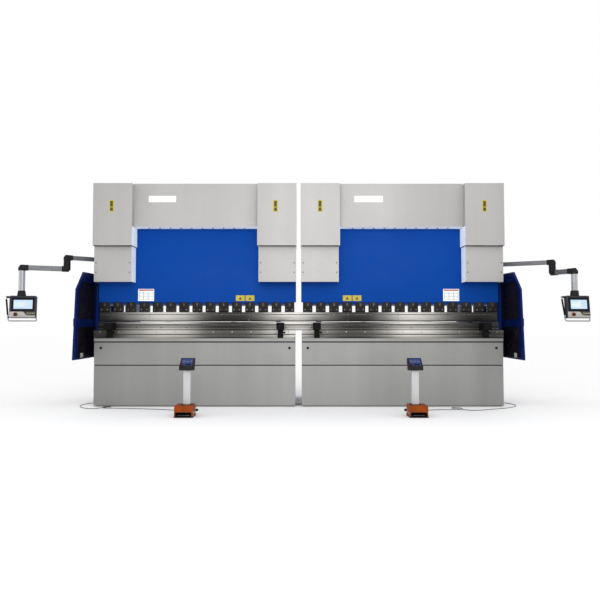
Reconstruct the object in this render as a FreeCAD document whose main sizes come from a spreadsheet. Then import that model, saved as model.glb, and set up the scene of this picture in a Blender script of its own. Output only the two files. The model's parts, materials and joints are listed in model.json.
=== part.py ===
# Tandem press brake: two mirrored machines joined by one punch and die line.
# Millimetres. +X along the bend line, front is -Y, +Z up, origin on the floor in the middle of the gap.
import FreeCAD, Part
import Sketcher
import math
import os

os.makedirs("parts", exist_ok=True)
doc = FreeCAD.newDocument("press_brake")
V = FreeCAD.Vector

SIZES = dict(
    plateThick=80, frameNear=355, frameFar=2935, frameRear=1200, frameFront=60, padThick=15,
    throatLow=1000, throatHigh=1950, throatBack=460, jawTop=2650, frameTop=3400, jawStep=200,
    tableNear=52, tableFar=3248, bedHalf=60, bedTop=1078, apronFront=285, apronSheet=5,
    apronSplitLow=645, apronSplitHigh=660, apronTop=1012, ledgeLow=1030, ledgeFront=300,
    railNear=50, railFar=3315, railHalf=120, railTop=1204, dieFar=3260, holderTop=1285, dieTop=1340,
    veeHalf=25, veeDepth=28, punchTip=1347, punchTop=1502, punchFar=3245,
    ramNear=42, ramFar=3258, ramHalf=50, ramLow=1662, ramNotch=2440, ramTop=2950, ramTallNear=600, ramTallFar=2700,
    clampFirst=148, clampPitch=215.5, clampWide=157, clampCount=15, hookLow=1622, hookHalf=25,
    coverNear=35, coverFar=3265, coverWide=620, coverLow=2551, coverTop=3547, beamTop=3562, coverFront=380, coverSheet=4,
    lowerNear=40, lowerFar=3260, lowerWide=598, lowerLow=1977, lowerTop=2549, lowerFront=310,
    beamLow=2864, beamFront=270, boltPitch=172,
    boreRadius=80, rodRadius=55, rodPlay=0.05, cylinderRadius=130, headLow=2650, headTop=2700,
    guardAt=3420, guardRear=262, cableRadius=4.5,
)


class Q:
    """A number that also carries its spreadsheet expression."""

    def __init__(self, v, e):
        self.v = float(v)
        self.e = e

    def _two(self, other, sign, flip=False):
        other = q(other)
        a, b = (other, self) if flip else (self, other)
        val = {"+": a.v + b.v, "-": a.v - b.v, "*": a.v * b.v, "/": a.v / b.v if b.v else 0}[sign]
        return Q(val, "(%s %s %s)" % (a.e, sign, b.e))

    def __add__(self, o): return self._two(o, "+")
    def __radd__(self, o): return self._two(o, "+", True)
    def __sub__(self, o): return self._two(o, "-")
    def __rsub__(self, o): return self._two(o, "-", True)
    def __mul__(self, o): return self._two(o, "*")
    def __rmul__(self, o): return self._two(o, "*", True)
    def __truediv__(self, o): return self._two(o, "/")
    def __neg__(self): return Q(-self.v, "(0 - %s)" % self.e)


def q(a):
    return a if isinstance(a, Q) else Q(a, "%.6f" % a)


sheet = doc.addObject("Spreadsheet::Sheet", "dims")
for n, (alias, value) in enumerate(SIZES.items(), start=1):
    sheet.set("A%d" % n, alias)
    sheet.set("B%d" % n, str(value))
    sheet.setAlias("B%d" % n, alias)
doc.recompute()


class Sizes:
    def __getattr__(self, alias):
        return Q(SIZES[alias], "dims." + alias)


S = Sizes()


def bind(o, prop, val):
    if isinstance(val, Q):
        o.setExpression(prop, val.e)
    else:
        setattr(o, prop, val)


def place(o, x, y, z, rot=None):
    o.Placement = FreeCAD.Placement(V(q(x).v, q(y).v, q(z).v), rot or FreeCAD.Rotation())
    for ax, val in zip("xyz", (x, y, z)):
        if isinstance(val, Q):
            o.setExpression("Placement.Base." + ax, val.e)
    return o


def box(x0, x1, y0, y1, z0, z1, label="block"):
    o = doc.addObject("Part::Box", label)
    for prop, a, b in (("Length", x0, x1), ("Width", y0, y1), ("Height", z0, z1)):
        d = q(b) - q(a)
        setattr(o, prop, d.v)
        if isinstance(a, Q) or isinstance(b, Q):
            o.setExpression(prop, d.e)
    return place(o, x0, y0, z0)


TURN = {"z": FreeCAD.Rotation(), "x": FreeCAD.Rotation(V(0, 1, 0), 90), "y": FreeCAD.Rotation(V(1, 0, 0), -90)}


def cyl(x, y, z, axis, r, length, label="round"):
    o = doc.addObject("Part::Cylinder", label)
    bind(o, "Radius", r)
    bind(o, "Height", length)
    return place(o, x, y, z, TURN[axis])


def ball(x, y, z, r, label="ball"):
    o = doc.addObject("Part::Sphere", label)
    o.Radius = r
    return place(o, x, y, z)


def comp(label, items):
    o = doc.addObject("Part::Compound", label)
    o.Links = items
    o.Label = label
    return o


def fuse(items, label="joined"):
    o = doc.addObject("Part::MultiFuse", label)
    o.Shapes = items
    o.Label = label
    return o


def cut(base, tools, label="cut"):
    tool = tools[0] if len(tools) == 1 else comp(label + "_tools", tools)
    o = doc.addObject("Part::Cut", label)
    o.Base = base
    o.Tool = tool
    o.Label = label
    return o


def mirror(src, label="mirrored"):
    o = doc.addObject("Part::Mirroring", label)
    o.Source = src
    o.Normal = V(1, 0, 0)
    o.Base = V(0, 0, 0)
    o.Label = label
    return o


def sketch_on(b, role, loops, name="profile"):
    s = b.newObject("Sketcher::SketchObject", name)
    plane = [f for f in b.Origin.OriginFeatures if getattr(f, "Role", "") == role][0]
    s.AttachmentSupport = [(plane, "")]
    s.MapMode = "FlatFace"
    for pts in loops:
        first = s.GeometryCount
        n = len(pts)
        for i in range(n):
            a, c = pts[i], pts[(i + 1) % n]
            s.addGeometry(Part.LineSegment(V(q(a[0]).v, q(a[1]).v, 0), V(q(c[0]).v, q(c[1]).v, 0)), False)
        for i in range(n):
            s.addConstraint(Sketcher.Constraint("Coincident", first + i, 2, first + (i + 1) % n, 1))
        for i, p in enumerate(pts):
            for kind, val in (("DistanceX", p[0]), ("DistanceY", p[1])):
                k = s.addConstraint(Sketcher.Constraint(kind, -1, 1, first + i, 1, q(val).v))
                if isinstance(val, Q):
                    s.setExpression("Constraints[%d]" % k, val.e)
    return s


def padded(label, role, loops, lo, hi):
    """A PartDesign body: closed outlines padded from lo to hi along the outline's normal.
    YZ_Plane pads along +X, XZ_Plane along +Y (reversed), XY_Plane along +Z."""
    b = doc.addObject("PartDesign::Body", label)
    s = sketch_on(b, role, loops, label + "_profile")
    p = b.newObject("PartDesign::Pad", label + "_pad")
    p.Profile = s
    d = q(hi) - q(lo)
    p.Length = d.v
    if isinstance(lo, Q) or isinstance(hi, Q):
        p.setExpression("Length", d.e)
    if role == "XZ_Plane":
        p.Reversed = True
    b.Tip = p
    s.Visibility = False
    where = {"YZ_Plane": (lo, 0, 0), "XZ_Plane": (0, lo, 0), "XY_Plane": (0, 0, lo)}[role]
    place(b, *where)
    b.Label = label
    return b


NODES = []


def node(o, label):
    o.Label = label
    NODES.append(o)
    return o


def pair(make, name):
    """A part for the right-hand machine and its mirror image for the left-hand one."""
    r = node(make(), "right_" + name)
    l = node(mirror(r, "left_" + name), "left_" + name)
    return r, l


def both(items, label):
    """One part holding the right-hand pieces and their mirror images."""
    c = comp(label + "_right", items)
    return node(comp(label, [c, mirror(c, label + "_left")]), label)


# ---------------------------------------------------------------- structure
def frames():
    out = [(S.frameFront, S.padThick), (S.frameRear, S.padThick), (S.frameRear, 2700), (900, S.frameTop),
           (S.jawStep, S.frameTop), (S.jawStep, S.jawTop), (S.frameFront, S.jawTop), (S.frameFront, S.throatHigh),
           (S.throatBack - 60, S.throatHigh), (S.throatBack, S.throatHigh - 60), (S.throatBack, S.throatLow + 60),
           (S.throatBack - 60, S.throatLow), (S.frameFront, S.throatLow)]
    a = padded("near_frame", "YZ_Plane", [out], S.frameNear - S.plateThick / 2, S.frameNear + S.plateThick / 2)
    b = padded("far_frame", "YZ_Plane", [out], S.frameFar - S.plateThick / 2, S.frameFar + S.plateThick / 2)
    return comp("frame_pair", [a, b])


# a fixed sheet closes the side between the swinging guard and the electrical cabinet
both([frames(), padded("side_sheet", "XY_Plane",
                       [[(3150, 559.8), (3230, 559.8), (3234, 556.5), (3412, 316), (3407, 312.5), (3228, 554), (3150, 554)]],
                       755, 2145)], "side_frames")


def bed():
    return padded("bed_plate", "YZ_Plane", [[(-S.bedHalf, S.padThick), (S.bedHalf, S.padThick), (S.bedHalf, S.bedTop),
                                             (-S.bedHalf, S.bedTop)]], S.tableNear, S.tableFar)


both([bed()], "beds")

FEET = [(S.frameNear, 150), (S.frameNear, 1080), (S.frameFar, 150), (S.frameFar, 1080)]


def feet():
    out = []
    for x, y in FEET:
        plate = box(x - 120, x + 120, y - 120, y + 120, 0, S.padThick, "foot")
        holes = [cyl(x + a, y + b, -5, "z", 11, 40, "anchor_hole") for a in (-90, 90) for b in (-90, 90)]
        out.append(cut(plate, holes, "foot_plate"))
    return out


right_feet = comp("right_feet", feet())
tie = box(-200, 200, -S.bedHalf, S.bedHalf, 0, S.padThick, "tie_plate")
node(comp("anchor_feet", [right_feet, mirror(right_feet, "left_feet"), tie]), "anchor_feet")

# aprons: ledge, upper and lower sheets with end returns
ledge = padded("ledge", "YZ_Plane", [[(-S.ledgeFront, S.ledgeLow), (-S.ledgeFront + 6, S.ledgeLow),
                                      (-S.ledgeFront + 6, S.bedTop - 6), (-S.bedHalf, S.bedTop - 6),
                                      (-S.bedHalf, S.bedTop), (-S.ledgeFront, S.bedTop)]], S.tableNear, S.tableFar)


def tray(z0, z1):
    return cut(box(S.tableNear, S.tableFar, -S.apronFront, -S.bedHalf, z0, z1),
               [box(S.tableNear + S.apronSheet, S.tableFar - S.apronSheet, -S.apronFront + S.apronSheet, 0,
                    q(z0) - 20, q(z1) + 20)], "apron_sheet")


both([ledge, tray(S.apronSplitHigh, S.apronTop), tray(S.padThick, S.apronSplitLow)], "bed_aprons")

# ---------------------------------------------------------------- lower tool line
rail = padded("rail_profile", "YZ_Plane",
              [[(-S.railHalf + 10, S.bedTop), (-S.railHalf + 10, S.bedTop + 12), (-S.railHalf, S.bedTop + 12),
                (-S.railHalf, 1130), (-S.railHalf + 12, 1130), (-S.railHalf + 12, 1142), (-S.railHalf, 1142),
                (-S.railHalf, S.railTop), (S.railHalf, S.railTop), (S.railHalf, S.bedTop)]], S.railNear, S.railFar)
both([rail], "die_rails")
holder = padded("holder_profile", "YZ_Plane",
                [[(-68, S.railTop), (-68, S.railTop + 20), (-60, S.railTop + 22), (-60, S.holderTop),
                  (-16, S.holderTop), (-16, S.holderTop - 30), (16, S.holderTop - 30), (16, S.holderTop),
                  (60, S.holderTop), (60, S.railTop + 22), (68, S.railTop + 20), (68, S.railTop)]], 0, S.dieFar)
both([holder], "die_holders")
die = padded("die_profile", "YZ_Plane",
             [[(-15.5, S.holderTop - 30), (-15.5, S.holderTop), (-34, S.holderTop), (-34, S.holderTop + 18),
               (-46, S.holderTop + 22), (-46, S.dieTop), (-S.veeHalf, S.dieTop), (0, S.dieTop - S.veeDepth),
               (S.veeHalf, S.dieTop), (46, S.dieTop), (46, S.holderTop + 22), (34, S.holderTop + 18),
               (34, S.holderTop), (15.5, S.holderTop), (15.5, S.holderTop - 30)]], 0, S.dieFar)
both([die], "lower_dies")

# ---------------------------------------------------------------- ram and upper tools


def ram():
    plate = padded("ram_plate", "XZ_Plane",
                   [[(S.ramNear, S.ramLow), (S.ramFar, S.ramLow), (S.ramFar, S.ramNotch), (S.ramTallFar, S.ramNotch),
                     (S.ramTallFar, S.ramTop), (S.ramTallNear, S.ramTop), (S.ramTallNear, S.ramNotch),
                     (S.ramNear, S.ramNotch)]], -S.ramHalf, S.ramHalf)
    hook = box(S.clampFirst - S.clampWide / 2, S.clampFirst + S.clampPitch * 14 + S.clampWide / 2, -S.hookHalf,
               S.hookHalf, S.hookLow, S.ramLow, "ram_hook")
    return fuse([plate, hook], "ram_body")


pair(ram, "ram")


def clamps():
    x0 = S.clampFirst - S.clampWide / 2
    x1 = S.clampFirst + S.clampPitch * 14 + S.clampWide / 2
    bar = padded("clamp_profile", "YZ_Plane",
                 [[(-46, S.ramLow), (-46, 1572), (-54, 1564), (-54, 1516), (-40, S.punchTop), (40, S.punchTop),
                   (46, 1516), (46, S.ramLow), (S.hookHalf, S.ramLow), (S.hookHalf, S.hookLow),
                   (-S.hookHalf, S.hookLow), (-S.hookHalf, S.ramLow)]], x0, x1)
    gaps = [box(S.clampFirst + S.clampPitch * k + S.clampWide / 2, S.clampFirst + S.clampPitch * (k + 1) -
                S.clampWide / 2, -80, 80, S.punchTop - 20, S.ramLow + 20, "gap") for k in range(14)]
    return cut(bar, gaps, "clamp_row")


pair(clamps, "tool_clamps")


def punch():
    return padded("punch_profile", "YZ_Plane",
                  [[(-20, S.punchTop), (-20, 1466), (-16, 1466), (-16, 1460), (-23, 1460), (-23, 1392),
                    (-1.5, S.punchTip), (1.5, S.punchTip), (23, 1392), (23, 1460), (16, 1460), (16, 1466),
                    (20, 1466), (20, S.punchTop)]], 0.2, S.punchFar)


pair(punch, "punch")

# ---------------------------------------------------------------- hydraulics


def cylinder(x):
    head = box(x - 155, x + 155, -160, S.jawStep, S.headLow, S.headTop, "cylinder_head")
    tube = cyl(x, 0, S.headTop, "z", S.cylinderRadius, 640, "cylinder_tube")
    cap = box(x - 70, x + 70, -70, 70, 3340, 3380, "valve_block")
    solid = fuse([head, tube, cap], "cylinder_solid")
    return cut(solid, [cyl(x, 0, S.headTop, "z", S.boreRadius, 600, "bore"),
                       cyl(x, 0, S.headLow - 5, "z", S.rodRadius + S.rodPlay, 100, "rod_bore")], "cylinder")


both([cylinder(S.frameNear), cylinder(S.frameFar)], "hydraulic_cylinders")


def rods():
    out = []
    for x in (S.frameNear, S.frameFar):
        out.append(fuse([cyl(x, 0, S.ramNotch, "z", 59, 20, "rod_flange"),
                         cyl(x, 0, S.ramNotch, "z", S.rodRadius, 560, "rod"),
                         cyl(x, 0, 2950, "z", S.boreRadius - S.rodPlay, 60, "piston")], "piston_rod"))
    return comp("rods", out)


pair(rods, "piston_rods")
both([box(x - S.plateThick / 2, x + S.plateThick / 2, S.ramHalf + 0.3, S.frameFront, 1990, 2400, "guide")
      for x in (S.frameNear, S.frameFar)], "ram_guides")
tank = cut(box(S.frameNear + 40, S.frameFar - 40, 600, 1000, 2000, 2400, "tank"),
           [box(S.frameNear + 46, S.frameFar - 46, 606, 994, 2006, 2394, "tank_space"),
            cyl(1650, 800, 2380, "z", 60, 40, "tank_hole")], "tank_shell")
pump = fuse([box(1530, 1770, 680, 920, 2400, 2425, "pump_plate"), cyl(1650, 800, 2425, "z", 112, 330, "motor"),
             box(1762, 1822, 770, 830, 2520, 2640, "terminal_box"), cyl(1650, 800, 2755, "z", 100, 26, "fan_cowl")],
            "pump_unit")
both([tank, pump], "hydraulic_units")

# ---------------------------------------------------------------- top beam, hangers, covers
hang = [box(S.tableNear, S.tableFar, S.jawStep, 300, S.frameTop, 3486, "top_beam")]
hang += [box(x - 30, x + 30, -S.coverFront + S.coverSheet, 300, 3486, S.coverTop - S.coverSheet, "hanger")
        for x in (340, 2960)]
hang += [box(x - 30, x + 30, -S.beamFront + S.coverSheet, 300, 3486, S.beamTop - S.coverSheet, "hanger")
         for x in (1000, 1650, 2300)]
hang += [box(x - 35, x + 35, -S.lowerFront + S.coverSheet, -160, 2480, 2700, "strap")
         for x in (S.frameNear, S.frameFar)]
both(hang, "top_structure")


def upper_covers():
    out = []
    for x0, x1, outer in ((S.coverNear, S.coverNear + S.coverWide, -1), (S.coverFar - S.coverWide, S.coverFar, 1)):
        shell = box(x0, x1, -S.coverFront, 60, S.coverLow, S.coverTop, "cover")
        tools = [box(x0 + S.coverSheet, x1 - S.coverSheet, -S.coverFront + S.coverSheet, 100, S.coverLow - 10,
                     S.coverTop - S.coverSheet, "cover_space")]
        if outer > 0:
            tools.append(box(x0 - 5, x0 + 50, -55, 100, S.coverLow - 10, 3480, "ram_way"))
        else:
            tools.append(box(x1 - 50, x1 + 5, -55, 100, S.coverLow - 10, 3480, "ram_way"))
        out.append(cut(shell, tools, "upper_cover"))
    return comp("upper_cover_pair", out)


both([upper_covers()], "upper_covers")


def lower_covers():
    out = []
    for x0, x1 in ((S.lowerNear, S.lowerNear + S.lowerWide), (S.lowerFar - S.lowerWide, S.lowerFar)):
        shell = box(x0, x1, -S.lowerFront, -58, S.lowerLow, S.lowerTop, "cover")
        out.append(cut(shell, [box(x0 + S.coverSheet, x1 - S.coverSheet, -S.lowerFront + S.coverSheet, 0,
                                   S.lowerLow - 10, S.lowerTop + 10, "cover_space")], "lower_cover"))
    return comp("lower_cover_pair", out)


both([lower_covers()], "lower_covers")
bx0, bx1 = S.coverNear + S.coverWide, S.coverFar - S.coverWide
beam = cut(box(bx0, bx1, -S.beamFront, 60, S.beamLow, S.beamTop, "beam_cover"),
           [box(bx0 - 5, bx1 + 5, -S.beamFront + S.coverSheet, 100, S.beamLow + S.coverSheet,
                S.beamTop - S.coverSheet, "beam_space"),
            box(bx0 - 5, bx1 + 5, -58, 100, S.beamLow - 10, S.beamLow + 50, "ram_slot")], "beam_sheet")
both([beam], "beam_covers")
heads = [cyl(1650 + (k - 4.5) * S.boltPitch, -150, S.beamLow - 9, "z", 13, 9, "flange_bolt") for k in range(10)]
for x0 in (S.lowerNear, S.lowerFar - S.lowerWide):
    for dx in (32, 566):
        for z in (2130, 2280):
            heads.append(cyl(x0 + dx, -S.lowerFront - 4, z, "y", 8, 4, "cover_screw"))
heads += [cyl(x, -S.apronFront - 6, 925, "y", 22, 6, "apron_plug") for x in (145, 3142)]
both(heads, "cover_screws")

# ---------------------------------------------------------------- back gauge
gg = [box(x - 20, x + 20, 420, 1150, 1180, 1230, "gauge_beam") for x in (700, 2600)]
gg += [box(S.frameNear + 40, S.frameFar - 40, 1150, 1190, 1120, 1230, "gauge_cross")]
both(gg, "gauge_guides")


def gauge():
    beam_x = box(600, 2700, 500, 560, 1250.3, 1310, "gauge_bar")
    runs = [box(x - 40, x + 40, 480, 580, 1230.3, 1250.3, "gauge_shoe") for x in (700, 2600)]
    lips = []
    for x in (700, 2600):
        for side in (-1, 1):
            a = x + side * 20.3
            b = x + side * 40
            lips.append(box(min(a, b), max(a, b), 480, 580, 1200, 1230.3, "gauge_lip"))
    fingers = []
    for x in (1100, 2200):
        fingers += [box(x - 45, x + 45, 300, 560, 1310, 1345, "finger"), box(x - 25, x + 25, 240, 300, 1330, 1342, "tip")]
    return fuse([beam_x] + runs + lips + fingers, "gauge_body")


pair(gauge, "back_gauge")

# ---------------------------------------------------------------- electrical cabinets
CX0, CX1, CY0, CY1, CZ0, CZ1 = S.frameFar + 40, 3235, 560, 1180, 120, 1420
cab = cut(box(CX0, CX1, CY0, CY1, CZ0, CZ1, "cabinet"),
          [box(S.frameFar + 43, 3240, CY0 + 3, CY1 - 3, CZ0 + 3, CZ1 - 3, "cabinet_space")], "cabinet_shell")
knuckles = [cyl(3246, 1192, z, "z", 8, 78, "knuckle") for z in (331, 1131)]
knuckles += [box(3225, 3246, 1180, 1186, z, z + 78, "hinge_leaf") for z in (331, 1131)]
both([fuse([cab] + knuckles, "cabinet_and_hinge")], "electrical_cabinets")


def door():
    panel = box(3236, 3256, CY0, 1179.6, CZ0, CZ1, "door_panel")
    space = box(3230, 3253, CY0 + 3, 1176.6, CZ0 + 3, CZ1 - 3, "door_space")
    pan = cut(panel, [space], "door_pan")
    kn = [cyl(3246, 1192, z, "z", 8, 78, "knuckle") for z in (252, 1210)]
    kn += [box(3240, 3252, 1177, 1188, z, z + 78, "hinge_leaf") for z in (252, 1210)]
    grip = box(3256, 3280, 590, 610, 700, 820, "door_grip")
    return fuse([pan] + kn + [grip], "door_body")


pair(door, "cabinet_door")

# ---------------------------------------------------------------- side guards
OUT = [(-725, 755), (-625, 1843), (-325, 2132), (S.guardRear, 2145), (S.guardRear, 755)]
INN = [(-697, 780), (-601, 1832), (-314, 2108), (S.guardRear - 25, 2119), (S.guardRear - 25, 780)]
WIN_HIGH = [(-500, 1400), (-460, 1790), (-350, 1960), (140, 1960), (140, 1400)]
WIN_LOW = [(-510, 800), (-500, 1245), (180, 1245), (180, 800)]


def grown(pts, d):
    cy = sum(q(p[0]).v for p in pts) / len(pts)
    cz = sum(q(p[1]).v for p in pts) / len(pts)
    return [(p[0] + (d if p[0] > cy else -d), p[1] + (d if p[1] > cz else -d)) for p in pts]


def guard():
    ring = padded("guard_edge", "YZ_Plane", [OUT, INN], S.guardAt - 15, S.guardAt + 15)
    panel = padded("guard_panel", "YZ_Plane", [OUT, WIN_HIGH, WIN_LOW], S.guardAt - 3, S.guardAt + 3)
    kn = []
    for z in (902, 2012):
        kn += [cyl(S.guardAt, 285, z, "z", 11, 40, "guard_knuckle"),
               box(S.guardAt - 6, S.guardAt + 6, S.guardRear - 2, 285, z, z + 40, "guard_leaf")]
    grip = fuse([box(S.guardAt + 3, S.guardAt + 45, -600, -575, z, z + 20, "grip_leg") for z in (1270, 1370)] +
                [box(S.guardAt + 35, S.guardAt + 50, -600, -575, 1270, 1390, "grip_bar")], "guard_grip")
    return fuse([ring, panel] + kn + [grip], "guard_body")


pair(guard, "side_guard")


def panes():
    return comp("panes", [padded("pane_high", "YZ_Plane", [grown(WIN_HIGH, 15)], S.guardAt - 8, S.guardAt - 3),
                          padded("pane_low", "YZ_Plane", [grown(WIN_LOW, 15)], S.guardAt - 8, S.guardAt - 3)])


pair(panes, "guard_windows")
gb = []
for z in (862, 1972):
    gb += [fuse([box(S.frameFar + 40, S.guardAt - 22, 265, 305, z, z + 38, "guard_arm"),
                 box(S.guardAt - 30, S.guardAt + 11, 274, 305, z, z + 38, "guard_arm_end")], "guard_bracket")]
both(gb, "guard_brackets")

# ---------------------------------------------------------------- front sheet supports
both([box(70, 3230, -292, -242, S.bedTop, S.bedTop + 20, "support_rail")], "support_rails")


def support(x, label):
    foot = [box(x - 45, x + 45, -299, -235, 1098.3, 1130, "shoe"),
            box(x - 45, x + 45, -299, -292.3, 1083, 1098.3, "shoe_lip"),
            box(x - 45, x + 45, -241.7, -235, 1083, 1098.3, "shoe_lip"),
            box(x - 40, x + 40, -300, -236, 1130, 1216, "stem")]
    arm = cut(box(x - 60, x + 60, -400, -140, 1216, 1325, "arm"),
              [box(x - 54, x + 54, -394, -100, 1222, 1319, "arm_space")], "arm_tube")
    knob = cyl(x + 40, -268, 1170, "x", 14, 40, "clamp_knob")
    return node(fuse([arm, knob] + foot, label), label)


support(290, "right_inner_support")
support(2976, "right_outer_support")
support(-290, "left_inner_support")
support(-3011, "left_outer_support")

# ---------------------------------------------------------------- swing arms and pendants
def bar_between(a, b, wide, high, label):
    """A rectangular tube from a to b, level, centred on the line."""
    d = V(b[0] - a[0], b[1] - a[1], 0)
    o = doc.addObject("Part::Box", label)
    o.Length, o.Width, o.Height = d.Length, wide, high
    rot = FreeCAD.Rotation(V(0, 0, 1), math.degrees(math.atan2(d.y, d.x)))
    off = rot.multVec(V(0, -wide / 2, -high / 2))
    o.Placement = FreeCAD.Placement(V(a[0], a[1], a[2]) + off, rot)
    return o


def swing(side, root, knee, wrist, z1, z2, drop, yaw):
    """root, knee, wrist: plan positions of the three pivots; z1, z2: heights of the two arms."""
    sx = 1 if side == "right" else -1
    # post on the frame
    post = fuse([box(min(sx * 2975, root[0]), max(sx * 2975, root[0]), root[1] - 40, root[1] + 40, z1 - 130, z1 - 60,
                     "post_arm"),
                 cyl(root[0], root[1], z1 - 130, "z", 45, 88, "post"), cyl(root[0], root[1], z1 - 42, "z", 20, 84, "pin")],
                side + "_arm_post")
    first = cut(fuse([bar_between((root[0], root[1], z1), (knee[0], knee[1], z1), 80, 68, "arm"),
                      cyl(root[0], root[1], z1 - 41.5, "z", 50, 83, "hub"),
                      cyl(knee[0], knee[1], z1 - 44, "z", 56, 88, "knee_cap")], side + "_first_solid"),
                [cyl(root[0], root[1], z1 - 60, "z", 20.4, 140, "hub_bore"),
                 cyl(knee[0], knee[1], z1 - 60, "z", 24.4, 70, "knee_bore")], side + "_first_arm")
    node(first, side + "_first_arm")
    second = fuse([cyl(knee[0], knee[1], z2 - 46, "z", 54, z1 - 44.6 - (z2 - 46), "knee_drum"),
                   cyl(knee[0], knee[1], z1 - 60, "z", 24, 65, "knee_pin"),
                   bar_between((knee[0], knee[1], z2), (wrist[0], wrist[1], z2), 90, 76, "arm"),
                   cyl(wrist[0], wrist[1], z2 - 50, "z", 58, 96, "wrist_cap"),
                   cyl(wrist[0], wrist[1], drop, "z", 48, z2 - 50 - drop, "drop_tube")], side + "_second_arm")
    node(second, side + "_second_arm")
    # pendant: case hung from the wrist, leaning back slightly
    top = drop - 0.5
    tilt = FreeCAD.Rotation(V(0, 0, 1), yaw).multiply(FreeCAD.Rotation(V(1, 0, 0), -5))
    base = V(wrist[0], wrist[1], top - 82) + tilt.multVec(V(30, 0, -176))

    def local(o, x, y, z, extra=None):
        rot = tilt.multiply(extra) if extra else tilt
        o.Placement = FreeCAD.Placement(base + tilt.multVec(V(x, y, z)), rot)
        return o

    def lbox(x0, x1, y0, y1, z0, z1, label):
        o = doc.addObject("Part::Box", label)
        o.Length, o.Width, o.Height = x1 - x0, y1 - y0, z1 - z0
        return local(o, x0, y0, z0)

    def lcyl(x, y, z, axis, r, length, label):
        o = doc.addObject("Part::Cylinder", label)
        o.Radius, o.Height = r, length
        return local(o, x, y, z, TURN[axis])

    def lrod(a, b, r, label):
        o = doc.addObject("Part::Cylinder", label)
        d = V(*b) - V(*a)
        o.Radius, o.Height = r, d.Length
        return local(o, a[0], a[1], a[2], FreeCAD.Rotation(V(0, 0, 1), d))

    def lball(p, r, label):
        o = doc.addObject("Part::Sphere", label)
        o.Radius = r
        return local(o, p[0], p[1], p[2])

    case = lbox(-198, 200, -40, 40, -176, 176, "case")
    screen_seat = lbox(-135, 148, -45, -34, -35, 109, "screen_seat")
    button_seat = lcyl(-99, -60, -122, "y", 16.5, 45, "button_seat")
    p0, p1, p2, p3 = (-256, 0, 168), (-213, 0, -222), (206, 0, -222), (200, 0, -170)
    bars = [lrod(p0, p1, 11, "side_handle"), lrod(p1, p2, 11, "low_handle"), lrod(p2, p3, 11, "handle_end"),
            lball(p1, 11, "handle_bend"), lball(p2, 11, "handle_bend"), lball(p0, 11, "handle_tip"),
            lbox(-258, -195, -7, 7, 150, 166, "handle_lug"), lbox(-214, -195, -7, 7, -172, -158, "handle_lug")]
    neck = [cyl(wrist[0], wrist[1], top - 40, "z", 52, 40, "neck"),
            cyl(wrist[0], wrist[1], top - 110, "z", 38, 75, "neck_low")]
    case_cut = cut(fuse([case] + bars + neck, side + "_pendant_solid"), [screen_seat, button_seat], side + "_pendant")
    node(case_cut, side + "_pendant")
    node(lbox(-135, 148, -40, -34.5, -35, 109, "screen"), side + "_screen")
    stop = fuse([lcyl(-99, -62, -122, "y", 16, 36, "stop_stem"), lcyl(-99, -72, -122, "y", 24, 16, "stop_head")],
                side + "_stop_button")
    node(stop, side + "_stop_button")
    n = tilt.multVec(V(0, 1, 0))
    print(side, "stop axis", [round(v, 6) for v in n])
    for p in ((-230, 0, 60), (0, 0, -194), (0, 0, 0)):
        print(side, "point", p, [round(v, 2) for v in base + tilt.multVec(V(*p))])
    return post


posts = [swing("left", (-3075, 450), (-3769, -100), (-4380, -360), 2385, 2200, 1832, 10),
         swing("right", (3075, 450), (4128, -100), (4332, -430), 2310, 2140, 1830, 10)]
node(comp("arm_posts", posts), "arm_posts")

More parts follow.
